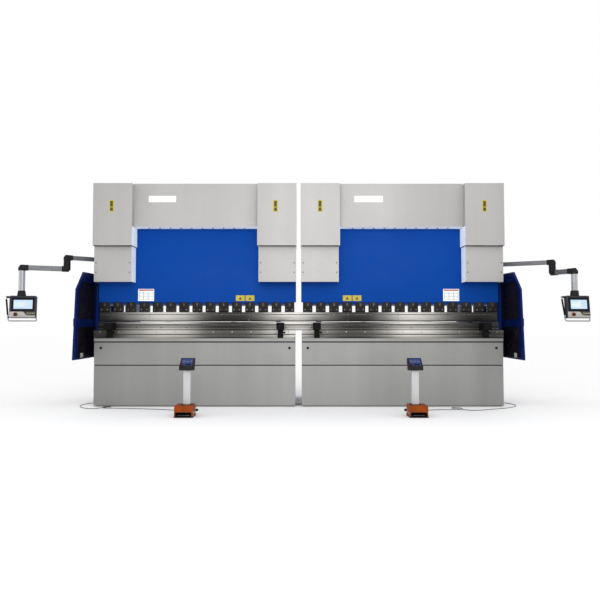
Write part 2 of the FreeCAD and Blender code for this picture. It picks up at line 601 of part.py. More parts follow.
# ---------------------------------------------------------------- pedestals
HOOD = {"left": (-1604, -1580, 1), "right": (1675, 1650, -1)}
hoods, bases, columns, consoles, handles, glands = [], [], [], [], [], []
for side, (hx, cx, inward) in HOOD.items():
    bases.append(box(hx - 132, hx + 132, -1455, -1165, 0, 12, "pedal_base"))
    hoods.append(cut(box(hx - 127, hx + 127, -1450, -1170, 12, 165, "hood"),
                     [box(hx - 122, hx + 122, -1445, -1175, 0, 160, "hood_space"),
                      box(hx - 112, hx + 112, -1460, -1440, 0, 74, "hood_mouth")], side + "_hood"))
    columns.append(box(cx - 51, cx + 51, -1330, -1255, 165, 650, "column"))
    consoles.append(padded(side + "_console_profile", "YZ_Plane",
                           [[(-1400, 668), (-1400, 690), (-1215, 822), (-1195, 822), (-1195, 650), (-1370, 650)]],
                           cx - 107, cx + 107))
    # carry handle: rod and ball
    a = V(hx + inward * 131.5, -1400, 63.6)
    c = V(hx + inward * 182, -1400, 104)
    rod = doc.addObject("Part::Cylinder", "handle_rod")
    rod.Radius, rod.Height = 6, (c - a).Length
    rod.Placement = FreeCAD.Placement(a, FreeCAD.Rotation(V(0, 0, 1), c - a))
    root = box(min(hx + inward * 127, hx + inward * 134), max(hx + inward * 127, hx + inward * 134), -1412, -1388, 46,
               74, "handle_root")
    knob = ball(c.x, c.y, c.z, 19, "handle_ball")
    knob.Placement = FreeCAD.Placement(c, FreeCAD.Rotation(V(0, 0, 1), 90))
    handles.append(fuse([rod, knob, root], side + "_handle"))

    def pedal(hx=hx):
        plate = box(hx - 85, hx + 85, -1442, -1210, 27, 35, "pedal_plate")
        hub = cyl(hx - 55, -1205, 31, "x", 9, 110, "pedal_hub")
        return cut(fuse([plate, hub, box(hx - 55, hx + 55, -1216, -1207, 27, 35, "pedal_web")], side + "_pedal_solid"),
                   [cyl(hx - 60, -1205, 31, "x", 5.05, 130, "pedal_bore")], side + "_pedal")
    node(pedal(), side + "_pedal")
    bases[-1] = fuse([bases[-1], cyl(hx - 75, -1205, 31, "x", 5, 150, "pedal_pin"),
                      box(hx - 75, hx - 57, -1207, -1190, 12, 42, "pin_ear"),
                      box(hx + 57, hx + 75, -1207, -1190, 12, 42, "pin_ear")], side + "_pedal_base")
    glands.append(cyl(hx + inward * -60, -1170, 40, "y", 12, 22, "hood_gland"))
    sx = -1 if side == "left" else 1
    glands.append(cyl(sx * 3105, 538, 200, "y", 12, 22, "cabinet_gland"))
node(comp("pedal_hoods", hoods), "pedal_hoods")
node(comp("pedal_bases", bases), "pedal_bases")
node(comp("pedestal_columns", columns), "pedestal_columns")
node(comp("pedestal_consoles", consoles), "pedestal_consoles")
node(comp("carry_handles", handles), "carry_handles")
node(comp("cable_glands", glands), "cable_glands")

# ---------------------------------------------------------------- pedal cables
CABLE = {
    "left": [
        (-1664.0, -1148.0, 40.0), (-1664.0, -1086.8, 38.8), (-1670.8, -1026.1, 21.7), (-1681.7, -966.3, 12.4), (-1701.0, -908.5, 7.0),
        (-1729.8, -854.7, 5.0), (-1767.8, -806.7, 4.9), (-1813.2, -765.3, 4.9), (-1864.1, -730.4, 4.9), (-1918.9, -701.7, 4.9),
        (-1976.2, -677.9, 4.9), (-2034.9, -657.7, 4.9), (-2094.5, -639.9, 4.9), (-2154.6, -623.7, 4.9), (-2215.0, -608.6, 4.9),
        (-2275.5, -594.2, 4.9), (-2336.2, -580.6, 4.9), (-2397.2, -567.9, 4.9), (-2458.3, -556.3, 4.9), (-2519.6, -545.6, 4.9),
        (-2581.1, -535.9, 4.9), (-2642.7, -527.3, 4.9), (-2704.5, -519.7, 4.9), (-2766.4, -513.4, 4.9), (-2828.4, -508.7, 4.9),
        (-2890.4, -504.6, 4.9), (-2951.5, -497.0, 4.9), (-3007.4, -478.8, 4.9), (-3048.9, -444.2, 4.9), (-3064.1, -396.9, 4.9),
        (-3047.1, -353.2, 4.9), (-3006.0, -333.0, 4.9), (-2961.2, -346.2, 6.1), (-2933.4, -386.8, 9.8), (-2932.6, -439.6, 15.5),
        (-2957.4, -489.6, 19.9), (-3000.7, -527.8, 19.6), (-3055.0, -551.2, 15.1), (-3114.4, -559.6, 9.8), (-3174.6, -554.2, 6.3),
        (-3232.7, -536.3, 4.9), (-3286.9, -507.7, 4.9), (-3335.6, -470.4, 4.9), (-3378.0, -425.9, 4.9), (-3413.4, -375.6, 4.9),
        (-3441.6, -320.8, 4.9), (-3462.8, -262.7, 4.9), (-3477.1, -202.6, 4.9), (-3484.3, -141.3, 4.9), (-3484.2, -79.5, 4.9),
        (-3476.2, -18.4, 4.9), (-3459.4, 40.6, 4.9), (-3432.3, 94.9, 4.9), (-3394.1, 141.7, 4.9), (-3346.4, 179.4, 4.9),
        (-3292.6, 209.1, 4.9), (-3236.7, 235.2, 5.7), (-3185.1, 264.9, 11.0), (-3145.1, 302.7, 26.5), (-3120.8, 345.8, 55.7),
        (-3109.6, 389.6, 95.5), (-3105.7, 434.3, 137.3), (-3105.0, 483.7, 195.0), (-3105.0, 538.0, 200.0),
    ],
    "right": [
        (1735.0, -1148.0, 40.0), (1735.0, -1087.4, 38.8), (1741.3, -1027.3, 21.8), (1751.0, -967.8, 12.6), (1767.4, -909.4, 7.1),
        (1792.0, -853.9, 5.0), (1825.6, -803.8, 4.9), (1868.1, -761.1, 4.9), (1918.2, -727.2, 4.9), (1973.6, -702.4, 4.9),
        (2032.3, -685.6, 4.9), (2092.7, -675.0, 4.9), (2153.9, -668.7, 4.9), (2215.3, -665.7, 4.9), (2276.9, -664.5, 4.9),
        (2338.2, -662.3, 4.9), (2397.9, -653.6, 4.9), (2452.3, -632.1, 4.9), (2495.2, -594.7, 4.9), (2520.2, -544.2, 4.9),
        (2522.6, -488.8, 4.9), (2500.9, -440.4, 4.9), (2460.1, -413.9, 4.9), (2414.2, -420.1, 4.9), (2379.2, -456.6, 5.6),
        (2363.1, -510.4, 8.1), (2365.4, -569.0, 12.8), (2383.7, -625.0, 18.1), (2416.3, -673.8, 20.7), (2461.1, -711.8, 18.6),
        (2514.7, -736.2, 13.4), (2573.3, -746.6, 8.5), (2633.6, -744.6, 5.6), (2693.5, -733.2, 4.9), (2752.0, -715.0, 4.9),
        (2809.1, -692.2, 4.9), (2864.9, -666.3, 4.9), (2919.7, -638.3, 4.9), (2973.9, -609.0, 4.9), (3028.0, -579.5, 4.9),
        (3082.5, -550.9, 4.9), (3137.2, -522.6, 4.9), (3191.5, -493.6, 4.9), (3244.7, -462.7, 4.9), (3295.9, -428.8, 4.9),
        (3343.6, -390.6, 4.9), (3386.0, -346.8, 4.9), (3421.8, -297.5, 4.9), (3450.1, -243.6, 4.9), (3470.2, -186.1, 4.9),
        (3481.6, -126.4, 4.9), (3483.8, -65.6, 4.9), (3476.6, -5.2, 4.9), (3459.6, 52.9, 4.9), (3431.7, 105.8, 4.9),
        (3392.2, 150.2, 4.9), (3343.1, 184.7, 4.9), (3288.3, 211.7, 4.9), (3232.7, 236.8, 5.9), (3182.1, 266.8, 11.5),
        (3143.3, 304.8, 27.5), (3120.0, 347.7, 57.1), (3109.3, 390.9, 96.8), (3105.6, 435.2, 138.1), (3105.0, 484.2, 195.0),
        (3105.0, 538.0, 200.0),
    ],
}


def cable(side):
    pts = [V(*p) for p in CABLE[side]]
    edges, here = [], pts[0]
    radii = []
    for i in range(1, len(pts) - 1):
        u = (pts[i] - pts[i - 1]).normalize()
        w = (pts[i + 1] - pts[i]).normalize()
        run = 0.45 * min((pts[i] - pts[i - 1]).Length, (pts[i + 1] - pts[i]).Length)
        turn = math.acos(max(-1, min(1, u.dot(w))))
        r = run / math.tan(turn / 2)
        radii.append(r)
        a = pts[i] - u * run
        c = pts[i] + w * run
        bis = (w - u).normalize()
        centre = pts[i] + bis * (r / math.cos(turn / 2))
        m = centre - bis * r
        edges += [Part.makeLine(here, a), Part.Arc(a, m, c).toShape()]
        here = c
    edges.append(Part.makeLine(here, pts[-1]))
    wire = Part.Wire(edges)
    ring = Part.Wire([Part.makeCircle(SIZES["cableRadius"], pts[0], (pts[1] - pts[0]).normalize())])
    solid = wire.makePipeShell([ring], True, False)
    o = doc.addObject("Part::Feature", side + "_pedal_cable")
    o.Shape = solid
    print(side, "cable length %.1f, smallest radius %.1f, volume ratio %.4f" % (
        wire.Length, min(radii), solid.Volume / (math.pi * SIZES["cableRadius"] ** 2 * wire.Length)))
    return o


if CABLE["left"]:
    for side in ("left", "right"):
        node(cable(side), side + "_pedal_cable")

# ---------------------------------------------------------------- check and export
doc.recompute()
bad = []
for o in doc.Objects:
    state = [str(s) for s in o.State]
    if "Invalid" in state or "Error" in state:
        bad.append((o.Label, state))
for o in NODES:
    if o.Shape.isNull() or not o.Shape.isValid() or not o.Shape.Solids:
        bad.append((o.Label, "bad shape"))
print("problems:", bad)
if bad:
    raise SystemExit(1)
names = [o.Label for o in NODES]
assert len(set(names)) == len(names), names
for o in NODES:
    o.Shape.exportStep("parts/%s.step" % o.Label)
    bb = o.Shape.BoundBox
    print("%-22s solids %2d  X %.0f..%.0f Y %.0f..%.0f Z %.0f..%.0f" % (
        o.Label, len(o.Shape.Solids), bb.XMin, bb.XMax, bb.YMin, bb.YMax, bb.ZMin, bb.ZMax))
print("nodes", len(names))
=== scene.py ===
import json
import math
import random

import bmesh
import bpy
from mathutils import Matrix, Vector

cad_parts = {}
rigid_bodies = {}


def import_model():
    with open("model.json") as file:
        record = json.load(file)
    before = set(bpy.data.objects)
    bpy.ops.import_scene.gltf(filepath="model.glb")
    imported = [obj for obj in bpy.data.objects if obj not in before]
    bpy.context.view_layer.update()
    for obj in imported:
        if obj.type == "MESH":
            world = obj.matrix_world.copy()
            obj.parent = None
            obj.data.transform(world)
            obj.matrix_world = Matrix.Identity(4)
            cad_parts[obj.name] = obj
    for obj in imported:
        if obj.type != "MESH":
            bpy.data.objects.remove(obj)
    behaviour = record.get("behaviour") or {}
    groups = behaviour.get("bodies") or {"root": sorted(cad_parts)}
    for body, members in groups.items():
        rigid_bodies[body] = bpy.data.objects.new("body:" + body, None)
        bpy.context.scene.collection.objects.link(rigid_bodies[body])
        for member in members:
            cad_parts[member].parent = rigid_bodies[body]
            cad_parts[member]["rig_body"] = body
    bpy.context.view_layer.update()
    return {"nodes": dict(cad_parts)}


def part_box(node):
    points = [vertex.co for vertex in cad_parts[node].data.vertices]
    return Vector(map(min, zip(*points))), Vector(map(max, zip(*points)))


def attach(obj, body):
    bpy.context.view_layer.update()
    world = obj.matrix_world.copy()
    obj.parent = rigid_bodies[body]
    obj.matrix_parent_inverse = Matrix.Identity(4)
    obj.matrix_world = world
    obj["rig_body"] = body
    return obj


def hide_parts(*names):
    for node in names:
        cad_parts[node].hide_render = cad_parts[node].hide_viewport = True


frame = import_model()
NODES = frame["nodes"]
scene = bpy.context.scene
random.seed(7)

# ------------------------------------------------------------------ camera
cam_data = bpy.data.cameras.new("camera")
cam_data.lens = 36.24
cam_data.sensor_width = 36.0
cam_data.sensor_fit = "HORIZONTAL"
cam_data.shift_x = 0.0023
cam_data.clip_end = 200
cam = bpy.data.objects.new("camera", cam_data)
cam.location = (0.0, -9.9, 1.285)
cam.rotation_euler = (math.radians(92.4), 0.0, 0.0)
scene.collection.objects.link(cam)
scene.camera = cam


# ------------------------------------------------------------------ materials
def lin(r, g, b, k=1.0):
    out = []
    for c in (r, g, b):
        c /= 255.0
        c = c / 12.92 if c <= 0.04045 else ((c + 0.055) / 1.055) ** 2.4
        out.append(min(1.0, c * k))
    return (*out, 1.0)


def material(name, colour, rough, metal=0.0, var=0.10, scale=2.2, grain=420.0, bump=0.05, wear=None, wear_amount=0.5,
             edge=0.004, dust=0.0, dust_colour=(0.33, 0.31, 0.28, 1), brushed=None, coat=0.0, smear=0.12, spec=0.25,
             stretch=(1.0, 1.0, 1.0), painted_light_bands=None):
    """A node material: broad tone variation, mottled roughness, surface grain, dust streaks and rubbed edges, and where
    asked, painted light bands along X.
    """
    m = bpy.data.materials.new(name)
    m.use_nodes = True
    nt = m.node_tree
    nt.nodes.clear()
    N, L = nt.nodes.new, nt.links.new
    out = N("ShaderNodeOutputMaterial")
    b = N("ShaderNodeBsdfPrincipled")
    L(b.outputs["BSDF"], out.inputs["Surface"])
    b.inputs["Metallic"].default_value = metal
    b.inputs["Specular IOR Level"].default_value = spec
    if coat:
        b.inputs["Coat Weight"].default_value = coat
        b.inputs["Coat Roughness"].default_value = 0.18
    tc = N("ShaderNodeTexCoord")
    # broad tone variation
    n1 = N("ShaderNodeTexNoise")
    n1.inputs["Scale"].default_value = scale
    n1.inputs["Detail"].default_value = 5
    n1.inputs["Roughness"].default_value = 0.6
    mp1 = N("ShaderNodeMapping")
    mp1.inputs["Scale"].default_value = stretch
    L(tc.outputs["Object"], mp1.inputs["Vector"])
    L(mp1.outputs["Vector"], n1.inputs["Vector"])
    ramp = N("ShaderNodeValToRGB")
    ramp.color_ramp.elements[0].position = 0.30
    ramp.color_ramp.elements[1].position = 0.72
    lo = tuple(c * (1 - var) for c in colour[:3]) + (1,)
    hi = tuple(min(1, c * (1 + var)) for c in colour[:3]) + (1,)
    ramp.color_ramp.elements[0].color = lo
    ramp.color_ramp.elements[1].color = hi
    L(n1.outputs["Fac"], ramp.inputs["Fac"])
    col = ramp.outputs["Color"]
    if painted_light_bands:
        # painted light: brighter and darker stretches along the length (X) scale the colour; on the covers a falloff of
        # light towards both ends, on the steel painted reflections
        period, at, low, high, sharp = painted_light_bands
        sx = N("ShaderNodeSeparateXYZ")
        L(tc.outputs["Object"], sx.inputs["Vector"])
        nx = N("ShaderNodeTexNoise")
        nx.inputs["Scale"].default_value = 0.9
        nx.inputs["Detail"].default_value = 3
        mpx = N("ShaderNodeMapping")
        mpx.inputs["Scale"].default_value = (1.0, 0.3, 0.3)
        L(tc.outputs["Object"], mpx.inputs["Vector"])
        L(mpx.outputs["Vector"], nx.inputs["Vector"])
        add = N("ShaderNodeMath")
        add.operation = "MULTIPLY_ADD"
        add.inputs[1].default_value = 0.6
        L(nx.outputs["Fac"], add.inputs[0])
        L(sx.outputs["X"], add.inputs[2])
        ph = N("ShaderNodeMath")
        ph.operation = "MULTIPLY_ADD"
        ph.inputs[1].default_value = 2 * math.pi / period
        ph.inputs[2].default_value = -2 * math.pi * (at + 0.30) / period
        L(add.outputs["Value"], ph.inputs[0])
        cs = N("ShaderNodeMath")
        cs.operation = "COSINE"
        L(ph.outputs["Value"], cs.inputs[0])
        hf = N("ShaderNodeMath")
        hf.operation = "MULTIPLY_ADD"
        hf.inputs[1].default_value = 0.5
        hf.inputs[2].default_value = 0.5
        L(cs.outputs["Value"], hf.inputs[0])
        pw = N("ShaderNodeMath")
        pw.operation = "POWER"
        pw.inputs[1].default_value = sharp
        L(hf.outputs["Value"], pw.inputs[0])
        bm_ = N("ShaderNodeMapRange")
        bm_.inputs["To Min"].default_value = low
        bm_.inputs["To Max"].default_value = high
        L(pw.outputs["Value"], bm_.inputs["Value"])
        sc = N("ShaderNodeVectorMath")
        sc.operation = "SCALE"
        L(col, sc.inputs[0])
        L(bm_.outputs["Result"], sc.inputs["Scale"])
        col = sc.outputs["Vector"]
    # fine speckle
    n2 = N("ShaderNodeTexNoise")
    n2.inputs["Scale"].default_value = grain * 0.35
    n2.inputs["Detail"].default_value = 2
    L(tc.outputs["Object"], n2.inputs["Vector"])
    sp = N("ShaderNodeMix")
    sp.data_type = "RGBA"
    sp.blend_type = "OVERLAY"
    sp.inputs["Factor"].default_value = 0.16
    L(col, sp.inputs[6])
    L(n2.outputs["Fac"], sp.inputs[7])
    col = sp.outputs[2]
    if dust > 0:
        # faint upright streaks, longer than wide
        mp = N("ShaderNodeMapping")
        mp.inputs["Scale"].default_value = (9.0, 9.0, 0.9)
        L(tc.outputs["Object"], mp.inputs["Vector"])
        n3 = N("ShaderNodeTexNoise")
        n3.inputs["Scale"].default_value = 1.6
        n3.inputs["Detail"].default_value = 6
        n3.inputs["Roughness"].default_value = 0.65
        L(mp.outputs["Vector"], n3.inputs["Vector"])
        r3 = N("ShaderNodeMapRange")
        r3.inputs["From Min"].default_value = 0.52
        r3.inputs["From Max"].default_value = 0.78
        r3.inputs["To Min"].default_value = 0.0
        r3.inputs["To Max"].default_value = dust
        L(n3.outputs["Fac"], r3.inputs["Value"])
        dm = N("ShaderNodeMix")
        dm.data_type = "RGBA"
        L(r3.outputs["Result"], dm.inputs["Factor"])
        L(col, dm.inputs[6])
        dm.inputs[7].default_value = dust_colour
        col = dm.outputs[2]
    if wear is not None:
        bev = N("ShaderNodeBevel")
        bev.samples = 4
        bev.inputs["Radius"].default_value = edge
        geo = N("ShaderNodeNewGeometry")
        dot = N("ShaderNodeVectorMath")
        dot.operation = "DOT_PRODUCT"
        L(bev.outputs["Normal"], dot.inputs[0])
        L(geo.outputs["Normal"], dot.inputs[1])
        er = N("ShaderNodeMapRange")
        er.inputs["From Min"].default_value = 0.995
        er.inputs["From Max"].default_value = 0.90
        er.inputs["To Min"].default_value = 0.0
        er.inputs["To Max"].default_value = wear_amount
        L(dot.outputs["Value"], er.inputs["Value"])
        n4 = N("ShaderNodeTexNoise")
        n4.inputs["Scale"].default_value = 38.0
        n4.inputs["Detail"].default_value = 4
        L(tc.outputs["Object"], n4.inputs["Vector"])
        r4 = N("ShaderNodeMapRange")
        r4.inputs["From Min"].default_value = 0.42
        r4.inputs["From Max"].default_value = 0.62
        L(n4.outputs["Fac"], r4.inputs["Value"])
        mul = N("ShaderNodeMath")
        mul.operation = "MULTIPLY"
        L(er.outputs["Result"], mul.inputs[0])
        L(r4.outputs["Result"], mul.inputs[1])
        wm = N("ShaderNodeMix")
        wm.data_type = "RGBA"
        L(mul.outputs["Value"], wm.inputs["Factor"])
        L(col, wm.inputs[6])
        wm.inputs[7].default_value = wear
        col = wm.outputs[2]
    L(col, b.inputs["Base Color"])
    # mottled roughness
    n5 = N("ShaderNodeTexNoise")
    n5.inputs["Scale"].default_value = scale * 3.1
    n5.inputs["Detail"].default_value = 6
    L(tc.outputs["Object"], n5.inputs["Vector"])
    r5 = N("ShaderNodeMapRange")
    r5.inputs["From Min"].default_value = 0.3
    r5.inputs["From Max"].default_value = 0.7
    r5.inputs["To Min"].default_value = max(0.03, rough - smear)
    r5.inputs["To Max"].default_value = min(1.0, rough + smear)
    L(n5.outputs["Fac"], r5.inputs["Value"])
    L(r5.outputs["Result"], b.inputs["Roughness"])
    # surface grain
    if brushed:
        mp2 = N("ShaderNodeMapping")
        mp2.inputs["Scale"].default_value = brushed
        L(tc.outputs["Object"], mp2.inputs["Vector"])
        src = mp2.outputs["Vector"]
        g = 1.0
    else:
        src = tc.outputs["Object"]
        g = grain
    n6 = N("ShaderNodeTexNoise")
    n6.inputs["Scale"].default_value = g
    n6.inputs["Detail"].default_value = 3
    L(src, n6.inputs["Vector"])
    bp = N("ShaderNodeBump")
    bp.inputs["Strength"].default_value = min(1.0, bump * 4)
    bp.inputs["Distance"].default_value = 0.0006
    L(n6.outputs["Fac"], bp.inputs["Height"])
    L(bp.outputs["Normal"], b.inputs["Normal"])
    return m


WORN = (0.36, 0.35, 0.34, 1)
BRIGHT = (0.62, 0.61, 0.60, 1)
M = {
    # covers and aprons: painted light, brightest near the middle and darker towards both outer ends along X
    "cover_grey": material("cover_grey", lin(198, 196, 195, 0.80), 0.5, var=0.075, scale=1.1, bump=0.05, wear=lin(225, 224, 222), wear_amount=0.4, dust=0.04, stretch=(1.0, 1.0, 0.06), spec=0.3, painted_light_bands=(7.2, 0.0, 0.80, 1.0, 1.0)),
    "apron_grey": material("apron_grey", lin(164, 164, 162, 0.80), 0.52, var=0.09, scale=1.6, bump=0.05, wear=lin(205, 205, 203), wear_amount=0.35, dust=0.08, stretch=(1.0, 1.0, 0.05), spec=0.3, painted_light_bands=(7.2, 0.0, 0.80, 0.97, 1.0)),
    "ram_blue": material("ram_blue", lin(12, 76, 172, 0.72), 0.42, var=0.03, scale=1.0, bump=0.03, wear=WORN, wear_amount=0.35, spec=0.04),
    "guard_blue": material("guard_blue", lin(8, 34, 108, 0.55), 0.4, var=0.10, scale=1.6, bump=0.04, wear=lin(70, 84, 120), wear_amount=0.4, dust=0.02, spec=0.08),
    "frame_blue": material("frame_blue", lin(14, 62, 146, 0.66), 0.46, var=0.06, scale=1.4, bump=0.06, wear=WORN, wear_amount=0.5, dust=0.05, spec=0.1),
    # steel: painted reflections, as bright and dark stretches repeating along X
    "tool_steel": material("tool_steel", lin(232, 229, 224, 0.98), 0.42, metal=0.62, var=0.08, scale=2.0, bump=0.012, wear=BRIGHT, wear_amount=0.4, brushed=(3.0, 60.0, 60.0), smear=0.05, stretch=(0.5, 1.0, 6.0), painted_light_bands=(2.07, -0.12, 0.035, 0.70, 1.7)),
    "holder_steel": material("holder_steel", lin(176, 173, 168, 0.88), 0.48, metal=0.5, var=0.08, scale=2.0, bump=0.012, wear=BRIGHT, wear_amount=0.3, brushed=(3.0, 60.0, 60.0), smear=0.05, stretch=(0.5, 1.0, 6.0), painted_light_bands=(2.07, -0.12, 0.06, 0.82, 1.6), spec=0.15),
    "rail_steel": material("rail_steel", lin(206, 203, 196, 1.0), 0.48, metal=0.5, var=0.08, scale=2.0, bump=0.012, wear=BRIGHT, wear_amount=0.4, brushed=(3.0, 60.0, 60.0), smear=0.05, dust=0.04, stretch=(0.5, 1.0, 6.0), painted_light_bands=(2.07, -0.12, 0.13, 1.0, 1.6)),
    "rod_chrome": material("rod_chrome", lin(210, 210, 212), 0.12, metal=1.0, var=0.03, bump=0.01, smear=0.03),
    "black_metal": material("black_metal", lin(40, 36, 36, 0.75), 0.46, metal=0.1, var=0.18, scale=5.0, bump=0.09, wear=lin(110, 106, 104), wear_amount=0.45, spec=0.12),
    "black_cast": material("black_cast", lin(40, 40, 42, 0.80), 0.7, var=0.2, scale=14.0, grain=240.0, bump=0.25, wear=lin(96, 96, 98), wear_amount=0.35, spec=0.1),
    "dark_steel": material("dark_steel", lin(78, 76, 74, 0.8), 0.4, metal=0.8, var=0.15, scale=5.0, bump=0.06, wear=BRIGHT, wear_amount=0.5),
    "arm_aluminium": material("arm_aluminium", lin(144, 146, 151, 0.62), 0.52, metal=0.55, var=0.05, scale=2.0, bump=0.02, wear=BRIGHT, wear_amount=0.3, brushed=(60.0, 60.0, 60.0), smear=0.05),
    "drop_aluminium": material("drop_aluminium", lin(182, 185, 190, 0.80), 0.36, metal=0.75, var=0.04, scale=2.0, bump=0.02, wear=BRIGHT, wear_amount=0.4, brushed=(300.0, 300.0, 8.0), smear=0.07),
    "pendant_plastic": material("pendant_plastic", lin(66, 65, 72, 0.75), 0.55, var=0.07, scale=6.0, grain=600.0, bump=0.08, wear=lin(112, 112, 118), wear_amount=0.35, spec=0.15),
    "pendant_light": material("pendant_light", lin(186, 182, 178, 0.85), 0.45, var=0.05, scale=7.0, grain=600.0, bump=0.06, wear=lin(215, 214, 212), wear_amount=0.3),
    "bezel_black": material("bezel_black", lin(14, 16, 22, 0.9), 0.3, var=0.10, scale=9.0, bump=0.02, spec=0.12),
    "smoky_glass": material("smoky_glass", lin(26, 20, 24, 0.7), 0.3, var=0.30, scale=1.8, bump=0.005, smear=0.05, spec=0.1),
    "rubber": material("rubber", lin(20, 20, 21, 0.9), 0.76, var=0.15, scale=12.0, grain=500.0, bump=0.10, spec=0.08),
    "stop_red": material("stop_red", lin(96, 12, 14, 0.6), 0.38, var=0.08, scale=10.0, bump=0.03, spec=0.15),
    "ring_yellow": material("ring_yellow", lin(150, 120, 44, 0.6), 0.45, var=0.06, scale=10.0, bump=0.03, spec=0.15),
    "plate_yellow": material("plate_yellow", lin(204, 186, 66, 0.80), 0.46, var=0.08, scale=8.0, bump=0.03, wear=lin(150, 140, 80), wear_amount=0.4, dust=0.06, spec=0.2),
    "plate_white": material("plate_white", lin(246, 250, 252, 1.0), 0.42, var=0.02, scale=6.0, bump=0.02, spec=0.3),
    "painted_light_white": material("painted_light_white", lin(246, 252, 255, 1.0), 0.5, var=0.02, scale=2.0, bump=0.03, spec=0.3),
    "plate_red": material("plate_red", lin(186, 110, 116, 0.9), 0.42, var=0.05, scale=8.0, bump=0.03),
    "plate_dark": material("plate_dark", lin(74, 70, 52), 0.5, var=0.12, scale=8.0, bump=0.03),
    "column_grey": material("column_grey", lin(196, 196, 197, 0.86), 0.46, var=0.04, scale=3.0, bump=0.06, wear=lin(150, 150, 150), wear_amount=0.4, dust=0.08),
    "hood_orange": material("hood_orange", lin(172, 78, 16, 0.60), 0.48, var=0.22, scale=11.0, bump=0.08, wear=lin(90, 60, 40), wear_amount=0.6, dust=0.12, dust_colour=lin(84, 44, 22), spec=0.1, stretch=(1.0, 1.0, 0.4)),
    "console_blue": material("console_blue", lin(48, 74, 136, 0.8), 0.36, var=0.12, scale=9.0, bump=0.03, spec=0.15),
    "motor_grey": material("motor_grey", lin(120, 124, 128, 0.8), 0.45, var=0.08, scale=5.0, bump=0.10, wear=WORN, wear_amount=0.4, dust=0.1),
    "cabinet_grey": material("cabinet_grey", lin(198, 197, 194, 0.80), 0.48, var=0.04, scale=1.8, grain=500.0, bump=0.09, wear=lin(160, 158, 155), wear_amount=0.4, dust=0.07),
    "guide_bronze": material("guide_bronze", lin(168, 124, 64, 0.9), 0.34, metal=0.9, var=0.12, scale=8.0, bump=0.04),
    "cable_grey": material("cable_grey", lin(58, 58, 60), 0.6, var=0.12, scale=14.0, grain=700.0, bump=0.08),
    "bolt_zinc": material("bolt_zinc", lin(182, 182, 184, 0.8), 0.34, metal=0.95, var=0.1, scale=20.0, bump=0.04, wear=BRIGHT, wear_amount=0.5),
    "bolt_black": material("bolt_black", lin(34, 33, 33), 0.42, metal=0.5, var=0.14, scale=20.0, bump=0.06, wear=lin(110, 108, 106), wear_amount=0.5),
}


def screen_material():
    m = bpy.data.materials.new("screen_glass")
    m.use_nodes = True
    nt = m.node_tree
    nt.nodes.clear()
    N, L = nt.nodes.new, nt.links.new
    out = N("ShaderNodeOutputMaterial")
    b = N("ShaderNodeBsdfPrincipled")
    L(b.outputs["BSDF"], out.inputs["Surface"])
    tc = N("ShaderNodeTexCoord")
    n = N("ShaderNodeTexNoise")
    n.inputs["Scale"].default_value = 7.0
    n.inputs["Detail"].default_value = 2
    L(tc.outputs["Object"], n.inputs["Vector"])
    r = N("ShaderNodeValToRGB")
    r.color_ramp.elements[0].position = 0.35
    r.color_ramp.elements[0].color = lin(206, 226, 244)
    r.color_ramp.elements[1].position = 0.65
    r.color_ramp.elements[1].color = lin(240, 247, 250)
    L(n.outputs["Fac"], r.inputs["Fac"])
    L(r.outputs["Color"], b.inputs["Emission Color"])
    b.inputs["Emission Strength"].default_value = 0.72
    b.inputs["Base Color"].default_value = lin(120, 128, 136, 0.5)
    n2 = N("ShaderNodeTexNoise")
    n2.inputs["Scale"].default_value = 22.0
    L(tc.outputs["Object"], n2.inputs["Vector"])
    mr = N("ShaderNodeMapRange")
    mr.inputs["To Min"].default_value = 0.10
    mr.inputs["To Max"].default_value = 0.24
    L(n2.outputs["Fac"], mr.inputs["Value"])
    L(mr.outputs["Result"], b.inputs["Roughness"])
    return m


M["screen_glass"] = screen_material()


def glow(name, rgb, strength):
    m = bpy.data.materials.new(name)
    m.use_nodes = True
    nt = m.node_tree
    b = nt.nodes["Principled BSDF"]
    tc = nt.nodes.new("ShaderNodeTexCoord")
    n = nt.nodes.new("ShaderNodeTexNoise")
    n.inputs["Scale"].default_value = 60.0
    r = nt.nodes.new("ShaderNodeValToRGB")
    r.color_ramp.elements[0].color = tuple(c * 0.9 for c in rgb[:3]) + (1,)
    r.color_ramp.elements[1].color = rgb
    nt.links.new(tc.outputs["Object"], n.inputs["Vector"])
    nt.links.new(n.outputs["Fac"], r.inputs["Fac"])
    nt.links.new(r.outputs["Color"], b.inputs["Emission Color"])
    nt.links.new(r.outputs["Color"], b.inputs["Base Color"])
    b.inputs["Emission Strength"].default_value = strength
    b.inputs["Roughness"].default_value = 0.25
    return m


M["ui_blue"] = glow("ui_blue", lin(150, 190, 226), 0.5)
M["ui_green"] = glow("ui_green", lin(196, 226, 214), 0.55)


